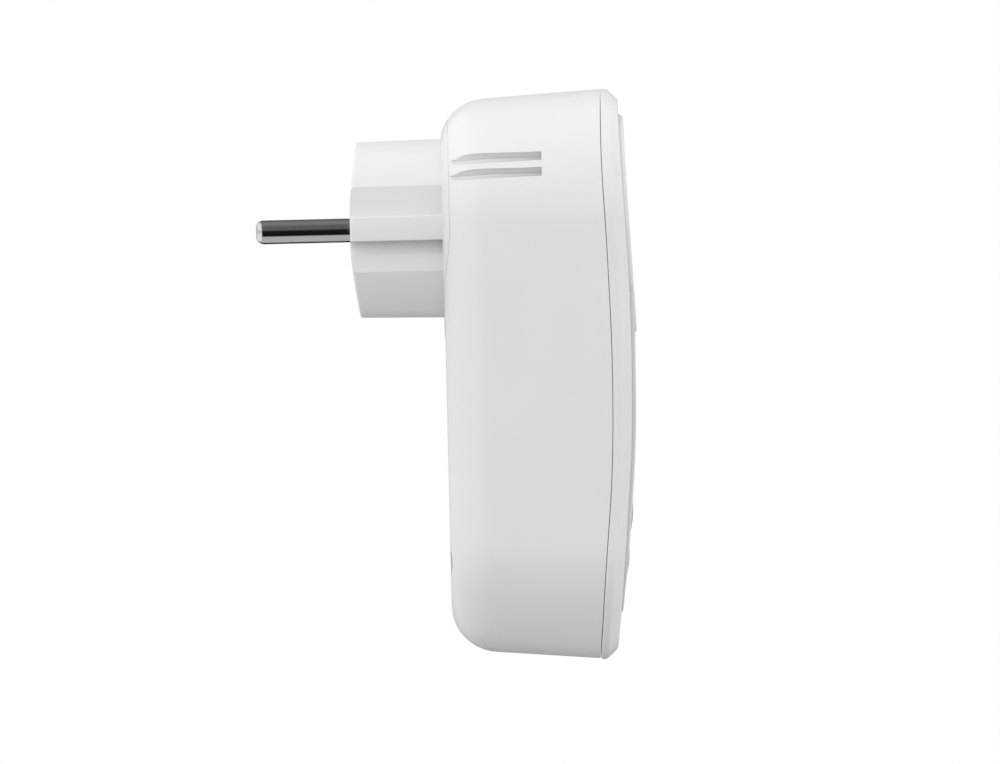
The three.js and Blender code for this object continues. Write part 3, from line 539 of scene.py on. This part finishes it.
def housing_blank(bm):
    """Two-sided shell: outer skin, rounded seam edge, inner skin."""
    outer = rear_rings(0, REAR_U, REAR_FILLET)
    outer += side_rings(0, REAR_U + REAR_FILLET, seam_u, -SEAM_PLAY - EDGE, 8)
    edge = [ring(EDGE * (1 - math.cos(a)),
                 lambda z, a=a: seam_u(z) - SEAM_PLAY - EDGE * (1 - math.sin(a)))
            for a in steps(0, math.pi / 2, 3)[1:]]
    inner_rear = REAR_U + REAR_WALL
    inner_fillet = REAR_FILLET - HOUSING_WALL
    inner = rear_rings(HOUSING_WALL, inner_rear, inner_fillet)
    inner += side_rings(HOUSING_WALL, inner_rear + inner_fillet, seam_u, -SEAM_PLAY, 4)
    made = loft(bm, outer + edge + inner[::-1])
    bm.faces.new(made[0])
    bm.faces.new(made[-1])


def groove(bm, side, drop, shift):
    """Cutter with a slanted floor and a shallower ledge along its lower edge."""
    rings = []
    for u, deepest, top, bottom, lip in GROOVE:
        x = deepest + shift
        section = [(x + FLOOR_SLANT, top), (GROOVE_OUTER_X, top), (GROOVE_OUTER_X, lip),
                   (x + LEDGE_FRONT, lip), (x + LEDGE_REAR, bottom), (x, bottom)]
        rings.append([(side * px, u, pz - drop) for px, pz in section])
    made = loft(bm, rings)
    for end in (made[0], made[-1]):
        bm.faces.new(end)


def make_rear_housing():
    bm = bmesh.new()
    housing_blank(bm)
    housing = mesh_object("housing_shell", bm)

    def posts(bm):
        for x, z in screw_places():
            prism(bm, circle(POST_RADIUS, x, z, FINE_SIDES), REAR_U + 5, POST_FRONT_U)

    def openings(bm):
        prism(bm, circle(DISC_RADIUS + DISC_PLAY, sides=ROUND), REAR_U - 2, REAR_U + DISC_DEPTH)
        for x, z in screw_places():
            prism(bm, circle(COUNTERBORE, x, z, FINE_SIDES), REAR_U - 2, POST_SEAT_U)

    def grooves(bm):
        for side in (-1, 1):
            groove(bm, side, 0, 0)
            groove(bm, side, LOWER_GROOVE["drop"], LOWER_GROOVE["floor"])

    combine(housing, "UNION", posts)
    combine(housing, "DIFFERENCE", grooves)
    combine(housing, "DIFFERENCE", openings)
    finish_piece(housing, "case", ["rear_housing"], MATERIALS["white_plastic"])


# ------------------------------------------------------------------ front cover and panel

CROWN = 0.15
CHAMFER_TURN = 0.5
PANEL_EDGE = 0.25
PANEL_RING_PLAY, COVER_WINDOW_PLAY, PANEL_WINDOW_PLAY = 0.9, 0.6, 0.4
WINDOW_EDGE = 0.4
LENS_THICKNESS = 4


def crown(x):
    """The cover's face falls away a little towards its sides."""
    return -CROWN * (x / HALF_WIDTH) ** 2


def face_ring(inset, offset):
    return [(x, face_u(z) + offset + crown(x), z) for x, z in outline(inset)]


def cover_blank(bm):
    """Shell with a chamfered front edge that follows the wave of the face."""
    back = [ring(EDGE * (1 - math.sin(a)),
                 lambda z, a=a: seam_u(z) + SEAM_PLAY + EDGE * (1 - math.cos(a)))
            for a in steps(0, math.pi / 2, 3)]
    side = [face_ring(0, -CHAMFER - CHAMFER_TURN)]
    chamfer = [
        face_ring(0.12, -CHAMFER + 0.1), face_ring(0.35, -CHAMFER + 0.45),
        face_ring(CHAMFER - 0.45, -0.42), face_ring(CHAMFER - 0.1, -0.14), face_ring(CHAMFER + 0.3, 0),
    ]
    face = [face_ring(i, 0) for i in (3.6, 5.2)]
    inner = [ring(WALL, lambda z: seam_u(z) + SEAM_PLAY), face_ring(WALL, -WALL)]
    made = loft(bm, [inner[1], inner[0], *back, *side, *chamfer, *face])
    cap_rows(bm, made[-1], lambda x, z: face_u(z) + crown(x))
    cap_rows(bm, made[0], lambda x, z: face_u(z) - WALL)


def window_outline(grow):
    return rounded_rectangle(WINDOW["half_width"] + grow, WINDOW["half_height"] + grow,
                             WINDOW["radius"], 0, WINDOW["z"])


def key_place(name):
    xs, _, zs = node_mm(f"key_{name}")
    return sum(xs) / 2, sum(zs) / 2


def key_outline(name, grow):
    x, z = key_place(name)
    return rounded_rectangle(KEY_HALF_WIDTH + grow, KEY_HALF_HEIGHT + grow,
                             KEY_HALF_HEIGHT + grow - 0.1, x, z, corner_steps=10)


def front_openings(bm, window_grow):
    prism(bm, window_outline(window_grow), CUT_FROM_U, CUT_TO_U)
    for name in KEY_NAMES:
        prism(bm, key_outline(name, GAP), CUT_FROM_U, CUT_TO_U)


def ring_opening(bm, grow):
    prism(bm, circle(RING_RADIUS + grow, sides=ROUND), CUT_FROM_U, CUT_TO_U)


def panel_solid(name, grow, rear_offset, levels):
    """Solid over the panel's outline, cut off straight above; levels are (inset, u(z)) rings."""
    bm = bmesh.new()
    rings = [[(x, face_u(z) + rear_offset, z) for x, z in panel_outline(grow)]]
    rings += [[(x, u_of(z) + crown(x), z) for x, z in panel_outline(grow - inset)]
              for inset, u_of in levels]
    made = loft(bm, rings)
    cap_rows(bm, made[-1], lambda x, z: levels[-1][1](z) + crown(x))
    cap_rows(bm, made[0], lambda x, z: face_u(z) + rear_offset)
    solid = mesh_object(name, bm)

    def upper_part(bm):
        box(bm, (-40, 40), (40, 70), (PANEL_TOP_Z + grow, 60))

    combine(solid, "DIFFERENCE", upper_part)
    return solid


def make_front_cover():
    bm = bmesh.new()
    cover_blank(bm)
    cover = mesh_object("cover_shell", bm)
    front = [(0, lambda z: face_u(z) + 4)]
    pocket = panel_solid("pocket", PANEL_PLAY, PANEL_SEAT - PANEL_PLAY, front)
    combine(cover, "DIFFERENCE", pocket)
    combine(cover, "DIFFERENCE", lambda bm: ring_opening(bm, GAP))
    combine(cover, "DIFFERENCE", lambda bm: front_openings(bm, COVER_WINDOW_PLAY))
    finish_piece(cover, "case", ["front_cover"], MATERIALS["white_plastic"])


def make_front_panel():
    levels = [(PANEL_EDGE * (1 - math.cos(a)), lambda z, a=a: panel_u(z) - PANEL_EDGE * (1 - math.sin(a)))
              for a in steps(0, math.pi / 2, 4)]
    panel = panel_solid("trim_panel", 0, PANEL_SEAT, levels)
    combine(panel, "DIFFERENCE", lambda bm: ring_opening(bm, PANEL_RING_PLAY))
    combine(panel, "DIFFERENCE", lambda bm: front_openings(bm, PANEL_WINDOW_PLAY))
    finish_piece(panel, "case", ["front_panel"], MATERIALS["panel_plastic"])


def make_window():
    """Clear pane with a rounded front edge."""
    bm = bmesh.new()

    def pane(grow, offset):
        return [(x, panel_u(z) + crown(x) + offset, z) for x, z in window_outline(grow)]

    skin = [pane(-WINDOW_EDGE * (1 - math.cos(a)), -LENS_SINK - WINDOW_EDGE * (1 - math.sin(a)))
            for a in steps(0, math.pi / 2, 4)]
    made = loft(bm, [pane(0, -LENS_THICKNESS), *skin])
    for end in (made[0], made[-1]):
        bm.faces.new(end)
    lens = mesh_object("lens_pane", bm)
    finish_piece(lens, "case", ["window_lens"], MATERIALS["clear_lens"])


# ------------------------------------------------------------------ plug

PLUG_ROOT = 3
NOSE_FLAT, NOSE_DEPTH, NOSE_POWER = 3.5, 1.8, 1.5
PIN_HOLE_PLAY = 0.12
STRAP_HALF_WIDTH, STRAP_INNER_Z, RECESS_FROM_U = 3.3, 14.6, 1.8


def nose_u(z):
    """The plug's end face, flat between the pins and curved back towards its top and bottom."""
    reach = max(0.0, abs(z) - NOSE_FLAT) / (PLUG_TIP_RADIUS - NOSE_FLAT)
    return NOSE_DEPTH * reach**NOSE_POWER


def rib_cut(side, up, flat_x):
    """(x, z) section cut away beside a rib: a small inner radius above it, an undercut below it."""
    outer = PLUG_BASE_RADIUS + 2
    if up > 0:
        root = [(flat_x + RIB_FILLET * (1 - math.sin(a)), RIB_HALF_HEIGHT + RIB_FILLET * (1 - math.cos(a)))
                for a in steps(0, math.pi / 2, 6)]
    else:
        deep_x = flat_x - UNDERCUT
        root = [(deep_x, RIB_HALF_HEIGHT), (deep_x, UNDERCUT_TOP), (flat_x, UNDERCUT_END)]
    points = [(outer, RIB_HALF_HEIGHT), *root, (flat_x, FLAT_HALF_HEIGHT), (outer, FLAT_HALF_HEIGHT)]
    return [(side * x, up * z) for x, z in points]


def make_plug_body():
    """Round plug body with flats, ribs and earth recesses."""
    bm = bmesh.new()
    root_u = REAR_U + PLUG_ROOT
    rim = PLUG_TIP_RADIUS - NOSE_EDGE
    face = [(r, 0) for r in steps(1, rim, 14)]
    edge = arc(rim, NOSE_EDGE, NOSE_EDGE, -90, 0, 5)[1:]
    profile = [(0, 0), *face, *edge, (PLUG_BASE_RADIUS, root_u), (0.5, root_u), (0, root_u)]
    lathe(bm, profile, shift=lambda u, height: nose_u(height) if u < 1 else 0)
    body = mesh_object("plug_body", bm)

    def flats(bm):
        for side in (-1, 1):
            for up in (-1, 1):
                ends = [[(x, u, z) for x, z in rib_cut(side, up, flat_x)]
                        for u, flat_x in ((-1, FLAT_X), (REAR_U - 0.02, FLAT_BASE_X))]
                for end in loft(bm, ends):
                    bm.faces.new(end)

    def recesses(bm):
        for side in (-1, 1):
            box(bm, (-STRAP_HALF_WIDTH, STRAP_HALF_WIDTH), (RECESS_FROM_U, REAR_U + 1),
                sorted((side * STRAP_INNER_Z, side * 20)))
            prism(bm, circle(PIN_RADIUS + PIN_HOLE_PLAY, side * PIN_X, 0, FINE_SIDES), -1, 4)

    combine(body, "DIFFERENCE", flats)
    combine(body, "DIFFERENCE", recesses)
    finish_piece(body, "case", ["plug_insert"], MATERIALS["white_plastic"],
                 round_angle=20)


def make_plug_disc():
    """Disc at the plug's base, flush with the rounded rear wall."""
    bm = bmesh.new()
    made = loft(bm, rear_rings(0, REAR_U - 0.12, REAR_FILLET))
    bm.faces.new(made[0])
    bm.faces.new(made[-1])
    disc = mesh_object("plug_base_disc", bm)

    def core(bm):
        prism(bm, circle(DISC_RADIUS - DISC_PLAY, sides=ROUND), REAR_U - 3, REAR_U + DISC_DEPTH + 0.5)

    def slots(bm):
        for side in (-1, 1):
            box(bm, (-STRAP_HALF_WIDTH, STRAP_HALF_WIDTH), (REAR_U - 3, REAR_U + 5),
                sorted((side * STRAP_INNER_Z, side * 18.6)))

    combine(disc, "INTERSECT", core)
    combine(disc, "DIFFERENCE", slots)
    finish_piece(disc, "case", [], MATERIALS["white_plastic"])


def make_pins():
    tip = node_mm("pin_live")[1][0]
    nose_radius = 1.5
    for node in ("pin_live", "pin_neutral"):
        xs, us, _ = node_mm(node)
        bm = bmesh.new()
        nose = [(0, tip), (0.8, tip),
                *arc(PIN_RADIUS - nose_radius, tip + nose_radius, nose_radius, -90, 0, 8)]
        lathe(bm, [*nose, (PIN_RADIUS, us[1]), (0, us[1])], sum(xs) / 2, 0, 64)
        pin = mesh_object(f"{node}_round", bm)
        finish_piece(pin, "case", [node], MATERIALS["nickel"])


# ------------------------------------------------------------------ socket

RIM_BOW = 0.0007
FLANGE_RADIUS, FLANGE_REAR_U, FLANGE_FRONT_U = RING_RADIUS + 1.2, 51.6, 53
RIM_ROUND, CUP_ROUND, CUP_FLOOR_THICKNESS = 0.9, 0.8, 1.8
LAND_HEIGHTS = ((3.4, 8.9), (-8.9, -3.4))
PIN_HOLE_RADIUS = 3.1
CLIP_HALF_WIDTH, CLIP_FROM_Z, CLIP_TO_Z = 2.7, 16.4, 19.2


def rim_lean(z):
    """The rim leans back towards the top, less so above the middle."""
    return -RING_TILT * z + RIM_BOW * max(0.0, z) ** 2


def make_socket():
    """Leaning rim, recess with guide lands, and the floor with its pin holes."""
    floor_rear = CUP_FLOOR_U - CUP_FLOOR_THICKNESS
    outer = CUP_RADIUS + CUP_WALL
    bm = bmesh.new()
    lathe(bm, [
        (0, floor_rear), (0.5, floor_rear), (outer, floor_rear), (outer, FLANGE_REAR_U),
        (FLANGE_RADIUS, FLANGE_REAR_U), (FLANGE_RADIUS, FLANGE_FRONT_U), (RING_RADIUS, FLANGE_FRONT_U),
        *arc(RING_RADIUS - RIM_ROUND, RING_MEAN_U - RIM_ROUND, RIM_ROUND, 0, 90, 6),
        *arc(CUP_RADIUS + CUP_ROUND, RING_MEAN_U - CUP_ROUND, CUP_ROUND, 90, 180, 6),
        *arc(CUP_RADIUS - CUP_ROUND, CUP_FLOOR_U + CUP_ROUND, CUP_ROUND, 0, -90, 4),
        (0.5, CUP_FLOOR_U), (0, CUP_FLOOR_U),
    ], shift=lambda u, height: rim_lean(height) if u > CUP_FLOOR_U + 1 else 0)
    socket = mesh_object("socket_cup", bm)

    def lands(bm):
        wall_radius = CUP_RADIUS + 0.6
        for side in (-1, 1):
            for low, high in LAND_HEIGHTS:
                wall_x = math.sqrt(wall_radius**2 - max(abs(low), abs(high)) ** 2)
                box(bm, sorted((side * LAND_X, side * wall_x)), (CUP_FLOOR_U - 0.5, RING_MEAN_U - 4),
                    (low, high))

    def holes(bm):
        rear_u = CUP_FLOOR_U - 3
        for side in (-1, 1):
            prism(bm, circle(PIN_HOLE_RADIUS, side * PIN_X, 0, FINE_SIDES), rear_u, CUP_FLOOR_U + 1)
            box(bm, (-CLIP_HALF_WIDTH, CLIP_HALF_WIDTH), (rear_u, CUP_FLOOR_U + 1.2),
                sorted((side * CLIP_FROM_Z, side * CLIP_TO_Z)))

    combine(socket, "UNION", lands)
    combine(socket, "DIFFERENCE", holes)
    finish_piece(socket, "case", ["socket_insert"], MATERIALS["white_plastic"])


# ------------------------------------------------------------------ keys and display

KEY_EDGE, KEY_THICKNESS, KEY_CROWN = 0.45, 4, 0.1
STEM_RADIUS, STEM_LENGTH = 1.5, 3.5
MARK_RADIUS, MARK_RISE = 1.25, 0.08

# Corners, turn and flattening of the mark on each key.
KEY_MARKS = {
    "up": (3, 0, 1.0), "down": (3, math.pi, 1.0), "set": (4, math.pi / 4, 1.0), "function": (24, 0, 1.0),
    "cost": (4, 0, 0.45),
}


def make_key(name):
    x0, z0 = key_place(name)
    bm = bmesh.new()

    def level(grow, offset):
        return [(x, panel_u(z) + offset - KEY_CROWN * ((x - x0) / KEY_HALF_WIDTH) ** 2, z)
                for x, z in key_outline(name, grow)]

    skin = [level(-KEY_EDGE * (1 - math.cos(a)), KEY_PROUD - KEY_EDGE * (1 - math.sin(a)))
            for a in steps(0, math.pi / 2, 5)]
    inner = [level(-KEY_EDGE - k * 0.5, KEY_PROUD + 0.03 * k) for k in (1, 2, 3)]
    rear = node_mm(f"key_{name}")[1][0]
    made = loft(bm, [level(0, -KEY_THICKNESS), *skin, *inner])
    for end in (made[0], made[-1]):
        bm.faces.new(end)
    prism(bm, circle(STEM_RADIUS, x0, z0, 32), rear, rear + STEM_LENGTH)
    key = mesh_object(f"{name}_key_cap", bm)
    finish_piece(key, f"key_{name}", [f"key_{name}"], MATERIALS["key_plastic"],
                 round_angle=50)
    make_key_mark(name, x0, z0, KEY_PROUD + MARK_RISE)


def make_key_mark(name, x0, z0, offset):
    """Printed mark on a key: an arrow or a plain round or square sign."""
    corners, turn, flat = KEY_MARKS[name]
    points = [(x0 + MARK_RADIUS * math.sin(a + turn), z0 + flat * MARK_RADIUS * math.cos(a + turn))
              for a in steps(0, 2 * math.pi, corners)[:-1]]
    bm = bmesh.new()
    rings = [[(x, panel_u(z) + offset + lift, z) for x, z in points] for lift in (-0.12, 0.02)]
    for end in loft(bm, rings):
        bm.faces.new(end)
    mark = mesh_object(f"{name}_key_mark", bm)
    finish_piece(mark, f"key_{name}", [], PRINT)


SEGMENTS = {
    "0": "abcdef", "1": "bc", "2": "abged", "3": "abgcd", "4": "fgbc", "5": "afgcd", "6": "afgedc",
    "7": "abc", "8": "abcdefg", "9": "abcdfg",
}


def digit_bars(character, width, height, thick):
    """Bars of a seven-segment digit as (x, z, half width, half height) from its lower left corner."""
    w, h, t = width, height, thick
    across, along = w / 2 - 0.6 * t, h / 4 - 0.45 * t
    places = {
        "a": (w / 2, h, across, t / 2), "g": (w / 2, h / 2, across, t / 2),
        "d": (w / 2, 0, across, t / 2),
        "f": (0, 0.75 * h, t / 2, along), "b": (w, 0.75 * h, t / 2, along),
        "e": (0, 0.25 * h, t / 2, along), "c": (w, 0.25 * h, t / 2, along),
    }
    return [places[s] for s in SEGMENTS[character]]


DIGIT_GAP, DIGIT_SLANT, DIGIT_LIFT = 1.7, 0.08, 0.04
POINT_BACK, POINT_ADVANCE = 0.9, 0.6


def write_number(bm, text, x, z, width, height, thick, u):
    """Row of digits on the display; a point is a small square."""
    depth = (u, u + DIGIT_LIFT)
    for character in text:
        if character == ".":
            left = x - POINT_BACK
            box(bm, (left, left + thick), depth, (z - thick / 2, z + thick / 2))
            x += POINT_ADVANCE
            continue
        for bx, bz, half_width, half_height in digit_bars(character, width, height, thick):
            slant = DIGIT_SLANT * bz
            box(bm, (x + bx + slant - half_width, x + bx + slant + half_width), depth,
                (z + bz - half_height, z + bz + half_height))
        x += width + DIGIT_GAP


def make_display_digits():
    u = node_mm("lcd_glass")[1][1] + 0.02
    bm = bmesh.new()
    foot_z = WINDOW["z"] - 3.9
    write_number(bm, "230.5", -13.4, foot_z, 3.5, 7.8, 0.8, u)
    write_number(bm, "50", 8.9, foot_z, 1.9, 4.0, 0.45, u)
    digits = mesh_object("display_digits", bm)
    finish_piece(digits, "case", [], SEGMENT)


# ------------------------------------------------------------------ screws

HEAD_RADIUS, HEAD_HEIGHT, HEAD_ROUND, SHANK_RADIUS = 2.8, 2.1, 0.5, 1.15
CROSS_LONG, CROSS_SHORT, CROSS_DEPTH = 1.7, 0.32, 1.1


def cross_outline(x, z):
    """(x, z) points around a screw's cross recess, clockwise from the upper arm's right corner."""
    long, short = CROSS_LONG, CROSS_SHORT
    arm = [(short, long), (short, short), (long, short)]
    points = arm + [(a, -b) for a, b in arm[::-1]] + [(-a, -b) for a, b in arm]
    points += [(-a, b) for a, b in arm[::-1]]
    return [(x + a, z + b) for a, b in points]


def make_screws():
    for node in SCREW_NODES:
        xs, us, zs = node_mm(node)
        x, z, rear = sum(xs) / 2, sum(zs) / 2, us[0]
        bm = bmesh.new()
        seat = rear + HEAD_HEIGHT
        lathe(bm, [
            (0, rear), (0.5, rear), (2.2, rear),
            *arc(HEAD_RADIUS - HEAD_ROUND, rear + HEAD_ROUND, HEAD_ROUND, -90, 0, 4),
            (HEAD_RADIUS, seat), (SHANK_RADIUS, seat), (SHANK_RADIUS, us[1] - 1), (0.3, us[1]), (0, us[1]),
        ], x, z, FINE_SIDES)
        head = mesh_object(f"{node}_fine", bm)

        def cross(bm, x=x, z=z, rear=rear):
            prism(bm, cross_outline(x, z), rear - 1, rear + CROSS_DEPTH)

        combine(head, "DIFFERENCE", cross)
        finish_piece(head, "case", [node], MATERIALS["steel"])


# ------------------------------------------------------------------ studio and camera

def ramp(tree, value, low, high, to_low, to_high):
    """Smooth step of value from to_low at low to to_high at high."""
    node = tree.nodes.new("ShaderNodeMapRange")
    node.interpolation_type = "SMOOTHSTEP"
    for name, number in (("From Min", low), ("From Max", high), ("To Min", to_low), ("To Max", to_high)):
        node.inputs[name].default_value = number
    tree.links.new(value, node.inputs["Value"])
    return node.outputs["Result"]


def feed(tree, socket, value):
    """Sets a socket to a number or links another socket to it."""
    if isinstance(value, float):
        socket.default_value = value
    else:
        tree.links.new(value, socket)


def maths(tree, operation, a, b=0.0):
    node = tree.nodes.new("ShaderNodeMath")
    node.operation = operation
    feed(tree, node.inputs[0], a)
    feed(tree, node.inputs[1], b)
    return node.outputs["Value"]


def choose(tree, factor, when_off, when_on):
    """Mix of two brightnesses."""
    node = tree.nodes.new("ShaderNodeMix")
    tree.links.new(factor, node.inputs["Factor"])
    feed(tree, node.inputs["A"], when_off)
    feed(tree, node.inputs["B"], when_on)
    return node.outputs["Result"]


FLOOR_DROP, FLOOR_RADIUS = 0.08, 2.5
WHITE_FROM, WHITE_TO, WHITE_STRENGTH = 0.5, 1.6, 0.65


def make_floor():
    """Pale floor that brightens to white away from the object."""
    bpy.ops.mesh.primitive_circle_add(vertices=96, radius=FLOOR_RADIUS, fill_type="NGON",
                                      location=(0, cad_box[0].y / 2, cad_box[0].z - FLOOR_DROP))
    floor = bpy.context.object
    floor.name = "studio_floor"
    material, tree, bsdf = shader("floor")
    bsdf.inputs["Roughness"].default_value = 0.9
    tree.links.new(tinted(tree, noise(tree, 3), (0.50, 0.50, 0.50), (0.52, 0.52, 0.52)),
                   bsdf.inputs["Base Color"])
    white = tree.nodes.new("ShaderNodeEmission")
    white.inputs["Strength"].default_value = WHITE_STRENGTH
    mix = tree.nodes.new("ShaderNodeMixShader")
    place = tree.nodes.new("ShaderNodeTexCoord")
    length = tree.nodes.new("ShaderNodeVectorMath")
    length.operation = "LENGTH"
    tree.links.new(place.outputs["Object"], length.inputs[0])
    reach = ramp(tree, length.outputs["Value"], WHITE_FROM, WHITE_TO, 0.0, 1.0)
    tree.links.new(reach, mix.inputs["Fac"])
    tree.links.new(bsdf.outputs["BSDF"], mix.inputs[1])
    tree.links.new(white.outputs["Emission"], mix.inputs[2])
    tree.links.new(mix.outputs["Shader"], tree.nodes["Material Output"].inputs["Surface"])
    floor.data.materials.append(material)
    floor.visible_glossy = False


# Room light by direction: base, gain with height, gain towards the front and rear, how much more of it
# comes from the rear, and the loss above the front.
ROOM_BASE, ROOM_RISE, ROOM_ENDS, ROOM_TILT, FRONT_SHADE = 0.86, 0.14, 0.88, 0.15, 0.3


def make_world():
    """White backdrop, soft grey room light, and a banded room for reflections."""
    world = bpy.data.worlds.new("studio")
    bpy.context.scene.world = world
    world.use_nodes = True
    tree = world.node_tree
    place = tree.nodes.new("ShaderNodeTexCoord")
    split = tree.nodes.new("ShaderNodeSeparateXYZ")
    tree.links.new(place.outputs["Generated"], split.inputs["Vector"])
    path = tree.nodes.new("ShaderNodeLightPath")
    side, up = split.outputs["Y"], split.outputs["Z"]

    def times(a, b):
        return maths(tree, "MULTIPLY", a, b)

    low = maths(tree, "SUBTRACT", 1.0, up)
    tilt = maths(tree, "ADD", times(side, ROOM_TILT), 1.0)
    ends = times(times(times(side, side), times(low, ROOM_ENDS)), tilt)
    rise = times(up, ROOM_RISE)
    front = maths(tree, "MAXIMUM", times(side, -1.0), 0.0)
    shade = times(times(front, maths(tree, "MAXIMUM", up, 0.0)), FRONT_SHADE)
    room = maths(tree, "ADD", maths(tree, "ADD", ends, rise), ROOM_BASE)
    room = maths(tree, "SUBTRACT", room, shade)

    # What surfaces mirror. To either side of the object: light from straight below, dark up to the
    # horizon, dark grey above. Towards its front and rear: bright, a little less along the horizon.
    to_ends = ramp(tree, maths(tree, "ABSOLUTE", side), 0.25, 0.5, 0.0, 1.0)
    low_room = ramp(tree, up, -0.82, -0.65, 0.62, 0.01)
    high_room = maths(tree, "ADD", ramp(tree, up, 0.08, 0.3, 0.0, 0.13),
                      ramp(tree, up, 0.75, 1.0, 0.0, 0.13))
    to_sides = maths(tree, "ADD", low_room, high_room)
    from_horizon = maths(tree, "ABSOLUTE", maths(tree, "SUBTRACT", up, 0.05))
    bright = ramp(tree, from_horizon, 0.12, 0.3, 0.8, 1.1)
    mirrored = choose(tree, to_ends, to_sides, bright)
    seen = choose(tree, path.outputs["Is Glossy Ray"], room, mirrored)
    seen = choose(tree, path.outputs["Is Camera Ray"], seen, 1.0)
    tree.links.new(seen, tree.nodes["Background"].inputs["Strength"])
    tree.nodes["Background"].inputs["Color"].default_value = (1, 1, 1, 1)


LIGHT_ELEVATION = math.radians(62)
LIGHT_AZIMUTH = math.radians(15)
LIGHT_DISTANCE, LIGHT_SIZE, LIGHT_ENERGY = 0.9, 0.35, 1.2


def key_light():
    """Soft light above the shown side, a little towards the plug."""
    light = bpy.data.lights.new("key_light", "AREA")
    light.size = LIGHT_SIZE
    light.energy = LIGHT_ENERGY
    obj = bpy.data.objects.new("key_light", light)
    level = LIGHT_DISTANCE * math.cos(LIGHT_ELEVATION)
    aim = at(0, 30, -30)
    obj.location = aim + Vector((-level * math.cos(LIGHT_AZIMUTH), level * math.sin(LIGHT_AZIMUTH),
                                 LIGHT_DISTANCE * math.sin(LIGHT_ELEVATION)))
    obj.rotation_euler = (aim - obj.location).to_track_quat("-Z", "Y").to_euler()
    obj.visible_glossy = False
    bpy.context.scene.collection.objects.link(obj)


CAMERA_DISTANCE = 6.0
VIEW_CENTRE = at(0, 29.97, -31.84)
VIEW_WIDTH = 205.3 * MM
VIEW_ROLL = math.radians(1.35)


def make_camera():
    """Level side view along +X with a small roll."""
    camera = bpy.data.cameras.new("camera")
    camera.lens = camera.sensor_width * CAMERA_DISTANCE / VIEW_WIDTH
    camera.clip_end = 100
    obj = bpy.data.objects.new("camera", camera)
    forward_axis, up_axis = Vector((0, -1, 0)), Vector((0, 0, 1))
    right = forward_axis * math.cos(VIEW_ROLL) - up_axis * math.sin(VIEW_ROLL)
    up = forward_axis * math.sin(VIEW_ROLL) + up_axis * math.cos(VIEW_ROLL)
    back = Vector((-1, 0, 0))
    rotation = Matrix((right, up, back)).transposed()
    obj.matrix_world = Matrix.Translation(VIEW_CENTRE + back * CAMERA_DISTANCE) @ rotation.to_4x4()
    bpy.context.scene.collection.objects.link(obj)
    bpy.context.scene.camera = obj


# ------------------------------------------------------------------ build

dress_cad_nodes()
make_rear_housing()
make_front_cover()
make_front_panel()
make_window()
make_plug_body()
make_plug_disc()
make_pins()
make_socket()
for key_name in KEY_NAMES:
    make_key(key_name)
make_display_digits()
make_screws()

make_floor()
make_world()
key_light()
make_camera()
bpy.context.scene.view_settings.view_transform = "Standard"
